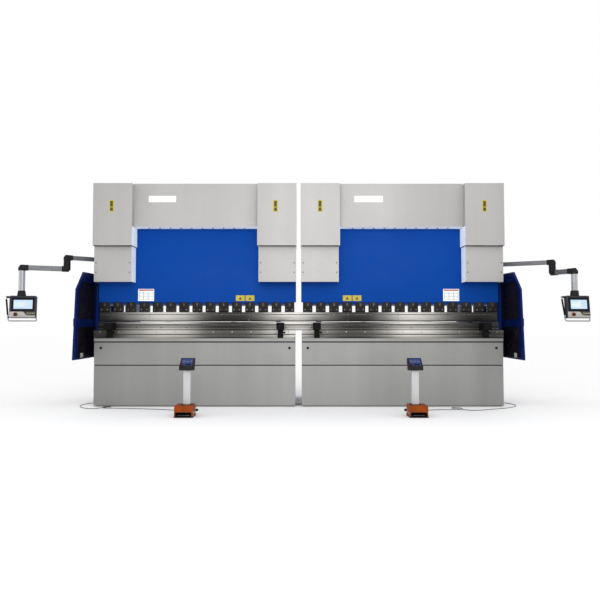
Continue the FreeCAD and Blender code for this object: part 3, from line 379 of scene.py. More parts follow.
# ------------------------------------------------------------------ cords (route points in metres)
CABLE = {
    "left": [
        (-1.6640, -1.1480, 0.0400), (-1.6640, -1.0868, 0.0388), (-1.6708, -1.0261, 0.0217), (-1.6817, -0.9663, 0.0124),
        (-1.7010, -0.9085, 0.0070), (-1.7298, -0.8547, 0.0050), (-1.7678, -0.8067, 0.0049), (-1.8132, -0.7653, 0.0049),
        (-1.8641, -0.7304, 0.0049), (-1.9189, -0.7017, 0.0049), (-1.9762, -0.6779, 0.0049), (-2.0349, -0.6577, 0.0049),
        (-2.0945, -0.6399, 0.0049), (-2.1546, -0.6237, 0.0049), (-2.2150, -0.6086, 0.0049), (-2.2755, -0.5942, 0.0049),
        (-2.3362, -0.5806, 0.0049), (-2.3972, -0.5679, 0.0049), (-2.4583, -0.5563, 0.0049), (-2.5196, -0.5456, 0.0049),
        (-2.5811, -0.5359, 0.0049), (-2.6427, -0.5273, 0.0049), (-2.7045, -0.5197, 0.0049), (-2.7664, -0.5134, 0.0049),
        (-2.8284, -0.5087, 0.0049), (-2.8904, -0.5046, 0.0049), (-2.9515, -0.4970, 0.0049), (-3.0074, -0.4788, 0.0049),
        (-3.0489, -0.4442, 0.0049), (-3.0641, -0.3969, 0.0049), (-3.0471, -0.3532, 0.0049), (-3.0060, -0.3330, 0.0049),
        (-2.9612, -0.3462, 0.0061), (-2.9334, -0.3868, 0.0098), (-2.9326, -0.4396, 0.0155), (-2.9574, -0.4896, 0.0199),
        (-3.0007, -0.5278, 0.0196), (-3.0550, -0.5512, 0.0151), (-3.1144, -0.5596, 0.0098), (-3.1746, -0.5542, 0.0063),
        (-3.2327, -0.5363, 0.0049), (-3.2869, -0.5077, 0.0049), (-3.3356, -0.4704, 0.0049), (-3.3780, -0.4259, 0.0049),
        (-3.4134, -0.3756, 0.0049), (-3.4416, -0.3208, 0.0049), (-3.4628, -0.2627, 0.0049), (-3.4771, -0.2026, 0.0049),
        (-3.4843, -0.1413, 0.0049), (-3.4842, -0.0795, 0.0049), (-3.4762, -0.0184, 0.0049), (-3.4594, 0.0406, 0.0049),
        (-3.4323, 0.0949, 0.0049), (-3.3941, 0.1417, 0.0049), (-3.3464, 0.1794, 0.0049), (-3.2926, 0.2091, 0.0049),
        (-3.2367, 0.2352, 0.0057), (-3.1851, 0.2649, 0.0110), (-3.1451, 0.3027, 0.0265), (-3.1208, 0.3458, 0.0557),
        (-3.1096, 0.3896, 0.0955), (-3.1057, 0.4343, 0.1373), (-3.1050, 0.4837, 0.1950), (-3.1050, 0.5380, 0.2000),
    ],
    "right": [
        (1.7350, -1.1480, 0.0400), (1.7350, -1.0874, 0.0388), (1.7413, -1.0273, 0.0218), (1.7510, -0.9678, 0.0126),
        (1.7674, -0.9094, 0.0071), (1.7920, -0.8539, 0.0050), (1.8256, -0.8038, 0.0049), (1.8681, -0.7611, 0.0049),
        (1.9182, -0.7272, 0.0049), (1.9736, -0.7024, 0.0049), (2.0323, -0.6856, 0.0049), (2.0927, -0.6750, 0.0049),
        (2.1539, -0.6687, 0.0049), (2.2153, -0.6657, 0.0049), (2.2769, -0.6645, 0.0049), (2.3382, -0.6623, 0.0049),
        (2.3979, -0.6536, 0.0049), (2.4523, -0.6321, 0.0049), (2.4952, -0.5947, 0.0049), (2.5202, -0.5442, 0.0049),
        (2.5226, -0.4888, 0.0049), (2.5009, -0.4404, 0.0049), (2.4601, -0.4139, 0.0049), (2.4142, -0.4201, 0.0049),
        (2.3792, -0.4566, 0.0056), (2.3631, -0.5104, 0.0081), (2.3654, -0.5690, 0.0128), (2.3837, -0.6250, 0.0181),
        (2.4163, -0.6738, 0.0207), (2.4611, -0.7118, 0.0186), (2.5147, -0.7362, 0.0134), (2.5733, -0.7466, 0.0085),
        (2.6336, -0.7446, 0.0056), (2.6935, -0.7332, 0.0049), (2.7520, -0.7150, 0.0049), (2.8091, -0.6922, 0.0049),
        (2.8649, -0.6663, 0.0049), (2.9197, -0.6383, 0.0049), (2.9739, -0.6090, 0.0049), (3.0280, -0.5795, 0.0049),
        (3.0825, -0.5509, 0.0049), (3.1372, -0.5226, 0.0049), (3.1915, -0.4936, 0.0049), (3.2447, -0.4627, 0.0049),
        (3.2959, -0.4288, 0.0049), (3.3436, -0.3906, 0.0049), (3.3860, -0.3468, 0.0049), (3.4218, -0.2975, 0.0049),
        (3.4501, -0.2436, 0.0049), (3.4702, -0.1861, 0.0049), (3.4816, -0.1264, 0.0049), (3.4838, -0.0656, 0.0049),
        (3.4766, -0.0052, 0.0049), (3.4596, 0.0529, 0.0049), (3.4317, 0.1058, 0.0049), (3.3922, 0.1502, 0.0049),
        (3.3431, 0.1847, 0.0049), (3.2883, 0.2117, 0.0049), (3.2327, 0.2368, 0.0059), (3.1821, 0.2668, 0.0115),
        (3.1433, 0.3048, 0.0275), (3.1200, 0.3477, 0.0571), (3.1093, 0.3909, 0.0968), (3.1056, 0.4352, 0.1381),
        (3.1050, 0.4842, 0.1950), (3.1050, 0.5380, 0.2000),
    ],
}
for side, pts in CABLE.items():
    cu = bpy.data.curves.new(side + "_pedal_lead", "CURVE")
    cu.dimensions = "3D"
    cu.resolution_u = 6
    sp = cu.splines.new("NURBS")
    sp.points.add(len(pts) - 1)
    for p, co in zip(sp.points, pts):
        p.co = (*co, 1.0)
    sp.order_u = 3
    sp.use_endpoint_u = True
    cu.bevel_depth = 0.0045
    cu.bevel_resolution = 4
    cu.use_fill_caps = True
    cu.materials.append(M["cable_grey"])
    ob = bpy.data.objects.new(side + "_pedal_lead", cu)
    scene.collection.objects.link(ob)
    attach(ob, "machine")
    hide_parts(side + "_pedal_cable")


# ------------------------------------------------------------------ mesh helpers
class Kit:
    """Collects closed shapes in one mesh, in the row frame."""

    def __init__(self, m=None):
        self.bm = bmesh.new()
        self.m = m

    def _put(self, verts, m=None):
        m = m or self.m
        if m is not None:
            for v in verts:
                v.co = m @ v.co
        return verts

    def box(self, x0, x1, y0, y1, z0, z1, m=None):
        x0, x1 = sorted((x0, x1))
        y0, y1 = sorted((y0, y1))
        z0, z1 = sorted((z0, z1))
        vs = [self.bm.verts.new(p) for p in ((x0, y0, z0), (x1, y0, z0), (x1, y1, z0), (x0, y1, z0),
                                             (x0, y0, z1), (x1, y0, z1), (x1, y1, z1), (x0, y1, z1))]
        for f in ((0, 3, 2, 1), (4, 5, 6, 7), (0, 1, 5, 4), (1, 2, 6, 5), (2, 3, 7, 6), (3, 0, 4, 7)):
            self.bm.faces.new([vs[i] for i in f])
        return self._put(vs, m)

    def prism(self, pts, a0, a1, plane="YZ", m=None):
        def at(u, v, a):
            return {"YZ": (a, u, v), "XZ": (u, a, v), "XY": (u, v, a)}[plane]
        lo = [self.bm.verts.new(at(u, v, a0)) for u, v in pts]
        hi = [self.bm.verts.new(at(u, v, a1)) for u, v in pts]
        self.bm.faces.new(lo)
        self.bm.faces.new(hi)
        n = len(pts)
        for i in range(n):
            j = (i + 1) % n
            self.bm.faces.new((lo[i], lo[j], hi[j], hi[i]))
        return self._put(lo + hi, m)

    def lathe(self, prof, at=(0, 0, 0), axis="z", n=48, m=None):
        """prof is a list of (radius, height), from one end on the axis to the other."""
        turn = {"z": Matrix.Identity(3), "x": Matrix.Rotation(math.pi / 2, 3, "Y"),
                "y": Matrix.Rotation(-math.pi / 2, 3, "X")}[axis]
        rings, verts = [], []
        for r, h in prof:
            if r < 1e-7:
                v = self.bm.verts.new(turn @ Vector((0, 0, h)) + Vector(at))
                rings.append([v])
                verts.append(v)
            else:
                ring = [self.bm.verts.new(turn @ Vector((r * math.cos(2 * math.pi * i / n), r * math.sin(2 * math.pi * i / n), h))
                                          + Vector(at)) for i in range(n)]
                rings.append(ring)
                verts += ring
        for a, b in zip(rings, rings[1:]):
            if len(a) == 1 and len(b) == 1:
                continue
            for i in range(n):
                j = (i + 1) % n
                if len(a) == 1:
                    self.bm.faces.new((a[0], b[i], b[j]))
                elif len(b) == 1:
                    self.bm.faces.new((a[i], a[j], b[0]))
                else:
                    self.bm.faces.new((a[i], a[j], b[j], b[i]))
        return self._put(verts, m)

    def rod(self, at, axis, r, length, n=32, c=None, m=None):
        c = r * 0.12 if c is None else c
        return self.lathe([(0, 0), (r - c, 0), (r, c), (r, length - c), (r - c, length), (0, length)], at, axis, n, m)

    def hexhead(self, at, axis, r, h, m=None):
        return self.lathe([(0, 0), (r, 0), (r, h * 0.82), (r * 0.88, h), (0, h)], at, axis, 6, m)

    def ring(self, at, axis, ri, ro, h, n=40, m=None):
        turn = {"z": Matrix.Identity(3), "x": Matrix.Rotation(math.pi / 2, 3, "Y"),
                "y": Matrix.Rotation(-math.pi / 2, 3, "X")}[axis]
        prof = [(ri, 0), (ro, 0), (ro, h * 0.7), (ro - (ro - ri) * 0.2, h), (ri, h)]
        rings, verts = [], []
        for r, z in prof:
            ring = [self.bm.verts.new(turn @ Vector((r * math.cos(2 * math.pi * i / n), r * math.sin(2 * math.pi * i / n), z))
                                      + Vector(at)) for i in range(n)]
            rings.append(ring)
            verts += ring
        for k in range(len(rings)):
            a, b = rings[k], rings[(k + 1) % len(rings)]
            for i in range(n):
                j = (i + 1) % n
                self.bm.faces.new((a[i], a[j], b[j], b[i]))
        return self._put(verts, m)

    def tube(self, pts, r, n=18, m=None):
        pts = [Vector(p) for p in pts]
        d = (pts[1] - pts[0]).normalized()
        side = d.orthogonal().normalized()
        rings, verts = [], []
        for i, p in enumerate(pts):
            if i == 0:
                t = (pts[1] - pts[0]).normalized()
            elif i == len(pts) - 1:
                t = (pts[-1] - pts[-2]).normalized()
            else:
                t = ((pts[i] - pts[i - 1]).normalized() + (pts[i + 1] - pts[i]).normalized()).normalized()
            side = (side - t * side.dot(t)).normalized()
            up = t.cross(side)
            ring = [self.bm.verts.new(p + side * (r * math.cos(2 * math.pi * k / n)) + up * (r * math.sin(2 * math.pi * k / n)))
                    for k in range(n)]
            rings.append(ring)
            verts += ring
        for a, b in zip(rings, rings[1:]):
            for i in range(n):
                j = (i + 1) % n
                self.bm.faces.new((a[i], a[j], b[j], b[i]))
        self.bm.faces.new(rings[0])
        self.bm.faces.new(rings[-1])
        return self._put(verts, m)

    def done(self, name, mat, body, slot, bevel=0.0, seg=2, replaces=(), angle=32):
        bmesh.ops.recalc_face_normals(self.bm, faces=self.bm.faces)
        me = bpy.data.meshes.new(name)
        self.bm.to_mesh(me)
        self.bm.free()
        me.materials.append(M[mat])
        for p in me.polygons:
            p.use_smooth = True
        ob = bpy.data.objects.new(name, me)
        scene.collection.objects.link(ob)
        if bevel > 0:
            b = ob.modifiers.new("bevel", "BEVEL")
            b.width = bevel
            b.segments = seg
            b.limit_method = "ANGLE"
            b.angle_limit = math.radians(angle)
            b.harden_normals = True
        else:
            me.set_sharp_from_angle(angle=math.radians(angle))
        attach(ob, body)
        if replaces:
            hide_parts(*replaces)
        return ob


def rounded(pts, r, n=5):
    """Rounds the corners of a polygon given as (u, v) points."""
    out = []
    k = len(pts)
    for i in range(k):
        p, a, b = Vector(pts[i]), Vector(pts[i - 1]), Vector(pts[(i + 1) % k])
        u, w = (a - p).normalized(), (b - p).normalized()
        ang = u.angle(w)
        if ang > math.radians(176):
            out.append(tuple(p))
            continue
        t = min(r / math.tan(ang / 2), (a - p).length * 0.45, (b - p).length * 0.45)
        rr = t * math.tan(ang / 2)
        c = p + (u + w).normalized() * (rr / math.sin(ang / 2))
        s, e = p + u * t, p + w * t
        a0, a1 = math.atan2(s.y - c.y, s.x - c.x), math.atan2(e.y - c.y, e.x - c.x)
        d = (a1 - a0 + math.pi) % (2 * math.pi) - math.pi
        for j in range(n + 1):
            q = a0 + d * j / n
            out.append((c.x + rr * math.cos(q), c.y + rr * math.sin(q)))
    return out


def smooth_path(pts, r, n=6):
    """Rounds the corners of a 3-D pipe run of rigid metal."""
    pts = [Vector(p) for p in pts]
    out = [pts[0]]
    for i in range(1, len(pts) - 1):
        p, a, b = pts[i], pts[i - 1], pts[i + 1]
        u, w = (a - p).normalized(), (b - p).normalized()
        t = min(r, (a - p).length * 0.45, (b - p).length * 0.45)
        s, e = p + u * t, p + w * t
        for j in range(n + 1):
            f = j / n
            out.append(s * (1 - f) ** 2 + p * 2 * f * (1 - f) + e * f ** 2)
    out.append(pts[-1])
    return out


def soft(node, width, mat, seg=2, angle=34, flat=0.8):
    """A finished copy of a CAD node: welded, with real rounded edges."""
    src = NODES[node]
    me = src.data.copy()
    me.name = node + "_shape"
    bm = bmesh.new()
    bm.from_mesh(me)
    bmesh.ops.remove_doubles(bm, verts=bm.verts, dist=2e-5)
    bmesh.ops.dissolve_limit(bm, angle_limit=math.radians(flat), verts=bm.verts, edges=bm.edges)
    bm.to_mesh(me)
    bm.free()
    me.materials.clear()
    me.materials.append(M[mat])
    for p in me.polygons:
        p.use_smooth = True
        p.material_index = 0
    ob = bpy.data.objects.new(node + "_finished", me)
    scene.collection.objects.link(ob)
    b = ob.modifiers.new("bevel", "BEVEL")
    b.width = width
    b.segments = seg
    b.limit_method = "ANGLE"
    b.angle_limit = math.radians(angle)
    b.harden_normals = True
    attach(ob, src["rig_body"])
    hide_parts(node)
    return ob


def finish_node(node, mat):
    o = NODES[node]
    for i in range(max(1, len(o.data.materials))):
        if len(o.material_slots) > i:
            o.material_slots[i].material = M[mat]
        else:
            o.data.materials.append(M[mat])


# ------------------------------------------------------------------ copies with rounded edges
for node, width, mat, slot in (
    ("upper_covers", 0.005, "cover_grey", "cover_grey"),
    ("beam_covers", 0.003, "cover_grey", "cover_grey"),
    ("lower_covers", 0.003, "cover_grey", "cover_grey"),
    ("bed_aprons", 0.003, "apron_grey", "apron_grey"),
    ("side_frames", 0.004, "frame_blue", "frame_blue"),
    ("beds", 0.004, "frame_blue", "frame_blue"),
    ("anchor_feet", 0.002, "dark_steel", "dark_steel"),
    ("top_structure", 0.003, "frame_blue", "frame_blue"),
    ("hydraulic_units", 0.006, "motor_grey", "motor_grey"),
    ("hydraulic_cylinders", 0.004, "black_metal", "black_metal"),
    ("electrical_cabinets", 0.0012, "cabinet_grey", "cabinet_grey"),
    ("left_cabinet_door", 0.0012, "cabinet_grey", "cabinet_grey"),
    ("right_cabinet_door", 0.0012, "cabinet_grey", "cabinet_grey"),
    ("gauge_guides", 0.002, "dark_steel", "dark_steel"),
    ("left_back_gauge", 0.003, "holder_steel", "holder_steel"),
    ("right_back_gauge", 0.003, "holder_steel", "holder_steel"),
    ("guard_brackets", 0.002, "black_metal", "black_metal"),
    ("arm_posts", 0.005, "black_metal", "black_metal"),
    ("left_side_guard", 0.0022, "guard_blue", "guard_blue"),
    ("right_side_guard", 0.0022, "guard_blue", "guard_blue"),
    ("support_rails", 0.002, "holder_steel", "holder_steel"),
    ("left_inner_support", 0.004, "rubber", "black_metal"),
    ("right_inner_support", 0.004, "rubber", "black_metal"),
    ("left_outer_support", 0.004, "rubber", "black_metal"),
    ("right_outer_support", 0.004, "rubber", "black_metal"),
    ("die_rails", 0.003, "rail_steel", "holder_steel"),
    ("left_ram", 0.004, "ram_blue", "ram_blue"),
    ("right_ram", 0.004, "ram_blue", "ram_blue"),
    ("left_tool_clamps", 0.003, "black_metal", "black_metal"),
    ("right_tool_clamps", 0.003, "black_metal", "black_metal"),
    ("left_pedal", 0.002, "dark_steel", "dark_steel"),
    ("right_pedal", 0.002, "dark_steel", "dark_steel"),
    ("pedal_bases", 0.003, "black_metal", "black_metal"),
    ("pedestal_columns", 0.009, "column_grey", "column_grey"),
):
    if node in NODES:
        soft(node, width, mat)

for node, mat in (("ram_guides", "guide_bronze"), ("left_piston_rods", "rod_chrome"), ("right_piston_rods", "rod_chrome"),
                  ("left_guard_windows", "smoky_glass"), ("right_guard_windows", "smoky_glass"), ("cable_glands", "rubber")):
    finish_node(node, mat)

# ------------------------------------------------------------------ tool line, in real lengths
PUNCH = [(-20, 1502), (-20, 1466), (-13, 1466), (-13, 1455), (-23, 1455), (-23, 1392), (-1.5, 1347), (1.5, 1347), (23, 1392),
         (23, 1455), (13, 1455), (13, 1466), (20, 1466), (20, 1502)]
DIE = [(-15.5, 1255), (-15.5, 1285.2), (-34, 1285.2), (-34, 1303), (-46, 1303), (-46, 1340), (-25, 1340), (0, 1312), (25, 1340),
       (46, 1340), (46, 1303), (34, 1303), (34, 1285.2), (15.5, 1285.2), (15.5, 1255)]


def mm(pts):
    return [(u / 1000, v / 1000) for u, v in pts]


def lengths(kit, prof, x0, x1, parts, gap):
    step = (x1 - x0) / parts
    for k in range(parts):
        kit.prism(mm(prof), x0 + step * k + (gap / 2 if k else 0), x0 + step * (k + 1) - (gap / 2 if k < parts - 1 else 0))


for s, sg in (("left", -1), ("right", 1)):
    lo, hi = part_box(s + "_punch")
    k = Kit()
    lengths(k, PUNCH, lo.x, hi.x, 4, 0.003)
    k.done(s + "_punch_set", "tool_steel", s + "_ram_unit", "tool_steel", 0.0009, 2, (s + "_punch",))
lo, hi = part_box("lower_dies")
k = Kit()
lengths(k, DIE, lo.x, -0.0003, 4, 0.003)
lengths(k, DIE, 0.0003, hi.x, 4, 0.003)
k.done("lower_die_set", "tool_steel", "machine", "tool_steel", 0.0012, 2, ("lower_dies",))
soft("die_holders", 0.0015, "holder_steel")
# painted shade: a dark line in the hanging groove and a dark strip along the downward-sloping nose of the punches
for s, sg in (("left", -1), ("right", 1)):
    lo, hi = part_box(s + "_punch")
    k = Kit()
    k.box(lo.x + 0.002, hi.x - 0.002, -0.0138, -0.0126, 1.4553, 1.4657)
    k.prism([(-0.0030, 1.3490), (-0.0097, 1.3630), (-0.0088, 1.3633), (-0.0022, 1.3493)], lo.x + 0.002, hi.x - 0.002)
    k.done(s + "_punch_shade_lines", "dark_steel", s + "_ram_unit", "dark_steel")
# painted shade: dark strips in the lower step of the dies and in the grooves along the rail; then a bright strip of the
# holder
lo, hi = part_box("lower_dies")
k = Kit()
k.box(lo.x + 0.002, hi.x - 0.002, -0.0350, -0.0338, 1.2866, 1.3022)
for sg in (-1, 1):
    k.box(sg * 0.054, sg * 3.308, -0.1209, -0.1196, 1.1310, 1.1405)
    k.box(sg * 0.054, sg * 3.308, -0.1209, -0.1196, 1.0800, 1.0925)
k.done("rail_shade_lines", "dark_steel", "machine", "dark_steel")
lo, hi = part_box("die_holders")
k = Kit()
for x0, x1 in ((lo.x + 0.002, -0.004), (0.004, hi.x - 0.002)):
    k.box(x0, x1, -0.0620, -0.0597, 1.2065, 1.2345)
k.done("holder_strips", "rail_steel", "machine", "holder_steel", 0.0006, 1)
# set screws of the holders and rails
k = Kit()
for sg in (-1, 1):
    for i in range(8):
        x = sg * (0.21 + i * 0.405)
        k.rod((x, -0.0662, 1.245), "y", 0.009, 0.008, 20)
        k.hexhead((x, -0.0672, 1.245), "y", 0.0065, 0.006)
k.done("holder_screws", "bolt_black", "machine", "black_metal", 0.0006, 1)
k = Kit()
for sg in (-1, 1):
    for i in range(11):
        x = sg * (0.16 + i * 0.305)
        k.rod((x, -0.1245, 1.180), "y", 0.0105, 0.0055, 24)
        k.ring((x, -0.1265, 1.180), "y", 0.0055, 0.0085, 0.003, 6)
k.done("rail_screws", "bolt_zinc", "machine", "holder_steel", 0.0005, 1)

# wedge bar that runs through the clamps under each beam
for s, sg in (("left", -1), ("right", 1)):
    lo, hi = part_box(s + "_tool_clamps")
    k = Kit()
    k.prism([(lo.y + 0.40 * (hi.y - lo.y), 1.606), (lo.y + 0.46 * (hi.y - lo.y), 1.601), (lo.y + 0.60 * (hi.y - lo.y), 1.601),
             (lo.y + 0.60 * (hi.y - lo.y), 1.6612), (lo.y + 0.40 * (hi.y - lo.y), 1.6612)], sg * 0.148, sg * 3.165)
    k.done(s + "_wedge_bar", "motor_grey", s + "_ram_unit", "tool_steel", 0.001, 1)

# clamp screws and adjusting keys, one set on each clamp
for s, sg in (("left", -1), ("right", 1)):
    k = Kit()
    q = Kit()
    for i in range(15):
        cx = sg * (0.148 + 0.2155 * i)
        for dx in (-0.045, 0.045):
            k.rod((cx + dx, -0.0645, 1.540), "y", 0.0125, 0.0125, 28)
            k.ring((cx + dx, -0.0665, 1.540), "y", 0.0055, 0.0098, 0.003, 6)
        q.box(cx - 0.012, cx + 0.012, -0.0535, -0.044, 1.600, 1.646)
        q.rod((cx, -0.0605, 1.622), "y", 0.008, 0.008, 20)
    k.done(s + "_clamp_screws", "dark_steel", s + "_ram_unit", "black_metal", 0.0006, 1)
    q.done(s + "_clamp_keys", "dark_steel", s + "_ram_unit", "dark_steel", 0.0012, 2)

# ------------------------------------------------------------------ cover details
k = Kit()
for sg in (-1, 1):
    for i in range(10):
        x = sg * (1.650 + (i - 4.5) * 0.172)
        k.hexhead((x, -0.150, 2.8552), "z", 0.013, 0.0088)
        k.rod((x, -0.150, 2.8625), "z", 0.019, 0.0014, 28, 0.0003)
for sg in (-1, 1):
    for x0 in (0.040, 2.662):
        for dx in (0.032, 0.566):
            for z in (2.130, 2.280):
                k.lathe([(0, 0), (0.006, 0), (0.009, 0.003), (0.009, 0.0045), (0, 0.0045)], (sg * (x0 + dx), -0.3142, z), "y", 28)
    for x in (0.145, 3.142):
        k.lathe([(0, 0), (0.016, 0), (0.0215, 0.004), (0.0215, 0.0065), (0, 0.0065)], (sg * x, -0.2912, 0.925), "y", 36)
k.done("cover_fixings", "bolt_black", "machine", "dark_steel", 0.0006, 1, ("cover_screws",))

# painted light: white liners on the covers' inward faces and under the beam stand in for the light on these faces;
# painted shade: dark strips behind the seams
k = Kit()
for sg in (-1, 1):
    for x, d in ((0.6552, 1), (2.6448, -1)):
        k.box(sg * x, sg * (x + d * 0.0012), -0.3755, -0.056, 2.556, 2.860)
    for x, d in ((0.6382, 1), (2.6618, -1)):
        k.box(sg * x, sg * (x + d * 0.0012), -0.3055, -0.060, 1.981, 2.545)
    k.box(sg * 0.660, sg * 2.640, -0.266, -0.062, 2.8626, 2.8638)
k.done("cover_light_liners", "painted_light_white", "machine", "cover_grey", 0.0004, 1)
# painted shade: black strips for the shadow line under the upper covers' front edges and for the shade in the grooves
# between the apron plates
k = Kit()
for sg in (-1, 1):
    for x0, x1 in ((0.0445, 0.6335), (2.6665, 3.2555)):
        k.box(sg * x0, sg * x1, -0.3055, -0.064, 2.5440, 2.5560)
        k.box(sg * x0, sg * x1, -0.3770, -0.3115, 2.5440, 2.5508)
    for z0, z1 in ((0.634, 0.671), (1.002, 1.038)):
        k.box(sg * 0.0575, sg * 3.2425, -0.2795, -0.2720, z0, z1)
k.done("seam_shade_strips", "rubber", "machine", "black_metal", 0.0008, 1)

# brush seals on the outer edges of the side sheets, behind the guard hinges
k = Kit()
for sg in (-1, 1):
    k.box(sg * 3.4085, sg * 3.4320, 0.3165, 0.3220, 0.762, 2.138)
k.done("side_sheet_seals", "guard_blue", "machine", "frame_blue", 0.0006, 1)

# blank plates: tall yellow ones on the upper covers, white bars on the beam covers
k = Kit()
b = Kit()
for x in (-2.971, -0.367, 0.340, 2.952):
    b.prism(rounded([(x - 0.0395, 3.085), (x + 0.0395, 3.085), (x + 0.0395, 3.275), (x - 0.0395, 3.275)], 0.006), -0.3814, -0.3795, "XZ")
    for z0, z1 in ((3.100, 3.155), (3.168, 3.260)):
        k.prism(rounded([(x - 0.022, z0), (x + 0.022, z0), (x + 0.022, z1), (x - 0.022, z1)], 0.004), -0.3821, -0.3812, "XZ")
b.done("cover_plates", "plate_yellow", "machine", "cover_grey", 0.0004, 1)
k.done("cover_plate_fields", "plate_dark", "machine", "cover_grey")
k = Kit()
for x0, x1 in ((-2.406, -1.969), (0.898, 1.355)):
    k.prism(rounded([(x0, 3.262), (x1, 3.262), (x1, 3.362), (x0, 3.362)], 0.012), -0.2745, -0.2695, "XZ")
k.done("blank_bars", "plate_white", "machine", "cover_grey", 0.0012, 2)

# plates on the rams
for s, sg in (("left", -1), ("right", 1)):
    body = s + "_ram_unit"
    w = Kit()
    w.prism(rounded([(sg * 2.36, 1.682), (sg * 2.62, 1.682), (sg * 2.62, 1.878), (sg * 2.36, 1.878)], 0.006), -0.0522, -0.0498, "XZ")
    w.done(s + "_ram_plate", "plate_white", body, "ram_blue", 0.0004, 1)
    r = Kit()
    r.box(sg * 2.368, sg * 2.612, -0.0530, -0.0520, 1.846, 1.870)
    r.done(s + "_ram_plate_head", "plate_red", body, "ram_blue", 0.0003, 1)
    g = Kit()
    for z in (1.704, 1.728, 1.752, 1.776, 1.800, 1.824):
        g.box(sg * 2.374, sg * 2.606, -0.0527, -0.0520, z, z + 0.004)
    for x in (2.374, 2.452, 2.530, 2.602):
        g.box(sg * x, sg * (x + 0.004), -0.0527, -0.0520, 1.700, 1.828)
    g.done(s + "_ram_plate_grid", "plate_dark", body, "ram_blue")
    y = Kit()
    y.prism(rounded([(sg * 0.722, 1.682), (sg * 0.866, 1.682), (sg * 0.866, 1.774), (sg * 0.722, 1.774)], 0.006), -0.0522, -0.0498, "XZ")
    y.prism(rounded([(sg * 0.880, 1.682), (sg * 1.024, 1.682), (sg * 1.024, 1.774), (sg * 0.880, 1.774)], 0.006), -0.0522, -0.0498, "XZ")
    y.done(s + "_ram_notes", "plate_yellow", body, "ram_blue", 0.0004, 1)
    d = Kit()
    for x in (0.794, 0.952):
        d.prism([(sg * (x - 0.026), 1.704), (sg * (x + 0.026), 1.704), (sg * x, 1.752)], -0.0530, -0.0520, "XZ")
    d.done(s + "_ram_note_marks", "plate_dark", body, "ram_blue")

# ------------------------------------------------------------------ side guards
HIGH = [(-500, 1400), (-460, 1790), (-350, 1960), (140, 1960), (140, 1400)]
LOW = [(-510, 800), (-500, 1245), (180, 1245), (180, 800)]
for s, sg in (("left", -1), ("right", 1)):
    body = s + "_guard"
    k = Kit()
    for poly in (HIGH, LOW):
        c = Vector((sum(p[0] for p in poly) / len(poly), sum(p[1] for p in poly) / len(poly)))
        inner = [Vector(p) + (c - Vector(p)).normalized() * 2 for p in poly]
        outer = [Vector(p) + (Vector(p) - c).normalized() * 20 for p in poly]
        n = len(poly)
        for xf in (3.4175, 3.4045):
            for i in range(n):
                j = (i + 1) % n
                quad = [(inner[i] / 1000), (inner[j] / 1000), (outer[j] / 1000), (outer[i] / 1000)]
                k.prism([tuple(v) for v in quad], sg * xf, sg * (xf + 0.007))
    k.done(s + "_window_seals", "rubber", body, "guard_blue", 0.0015, 1)
    g = Kit()
    g.prism(rounded([(-0.607, 1.255), (-0.569, 1.255), (-0.569, 1.405), (-0.607, 1.405)], 0.012), sg * 3.4352, sg * 3.4395)
    g.done(s + "_guard_grip_plate", "black_metal", body, "black_metal", 0.001, 2)
    t = Kit()
    t.prism(rounded([(-0.455, 0.672 + 0.11), (-0.335, 0.672 + 0.11), (-0.335, 0.742 + 0.11), (-0.455, 0.742 + 0.11)], 0.006),
            sg * 3.4048, sg * 3.4035)
    t.done(s + "_guard_tag", "pendant_light", body, "guard_blue")

# ------------------------------------------------------------------ swing arms
ARM = {
    "left": dict(root=(-3.075, 0.450), knee=(-3.769, -0.100), wrist=(-4.380, -0.360), z1=2.385, z2=2.200, drop=1.832),
    "right": dict(root=(3.075, 0.450), knee=(4.128, -0.100), wrist=(4.332, -0.430), z1=2.310, z2=2.140, drop=1.830),
}


def grooved(w, h, g=0.009, d=0.005, c=0.007):
    """A rectangular extrusion's section with two long grooves in each upright face and one above and below."""
    a, b = w / 2, h / 2
    t = h * 0.20
    pts = [(-a + c, -b), (-g / 2, -b), (-g / 2, -b + d), (g / 2, -b + d), (g / 2, -b), (a - c, -b), (a, -b + c)]
    for z in (-t, t):
        pts += [(a, z - g / 2), (a - d, z - g / 2), (a - d, z + g / 2), (a, z + g / 2)]
    pts += [(a, b - c), (a - c, b), (g / 2, b), (g / 2, b - d), (-g / 2, b - d), (-g / 2, b), (-a + c, b), (-a, b - c)]
    for z in (t, -t):
        pts += [(-a, z + g / 2), (-a + d, z + g / 2), (-a + d, z - g / 2), (-a, z - g / 2)]
    pts += [(-a, -b + c)]
    return pts


def along(p, q, z):
    """A frame with X along the level line from p to q, and Z up, at p."""
    d = Vector((q[0] - p[0], q[1] - p[1], 0)).normalized()
    y = Vector((0, 0, 1)).cross(d)
    return Matrix(((d.x, y.x, 0, p[0]), (d.y, y.y, 0, p[1]), (0, 0, 1, z), (0, 0, 0, 1)))


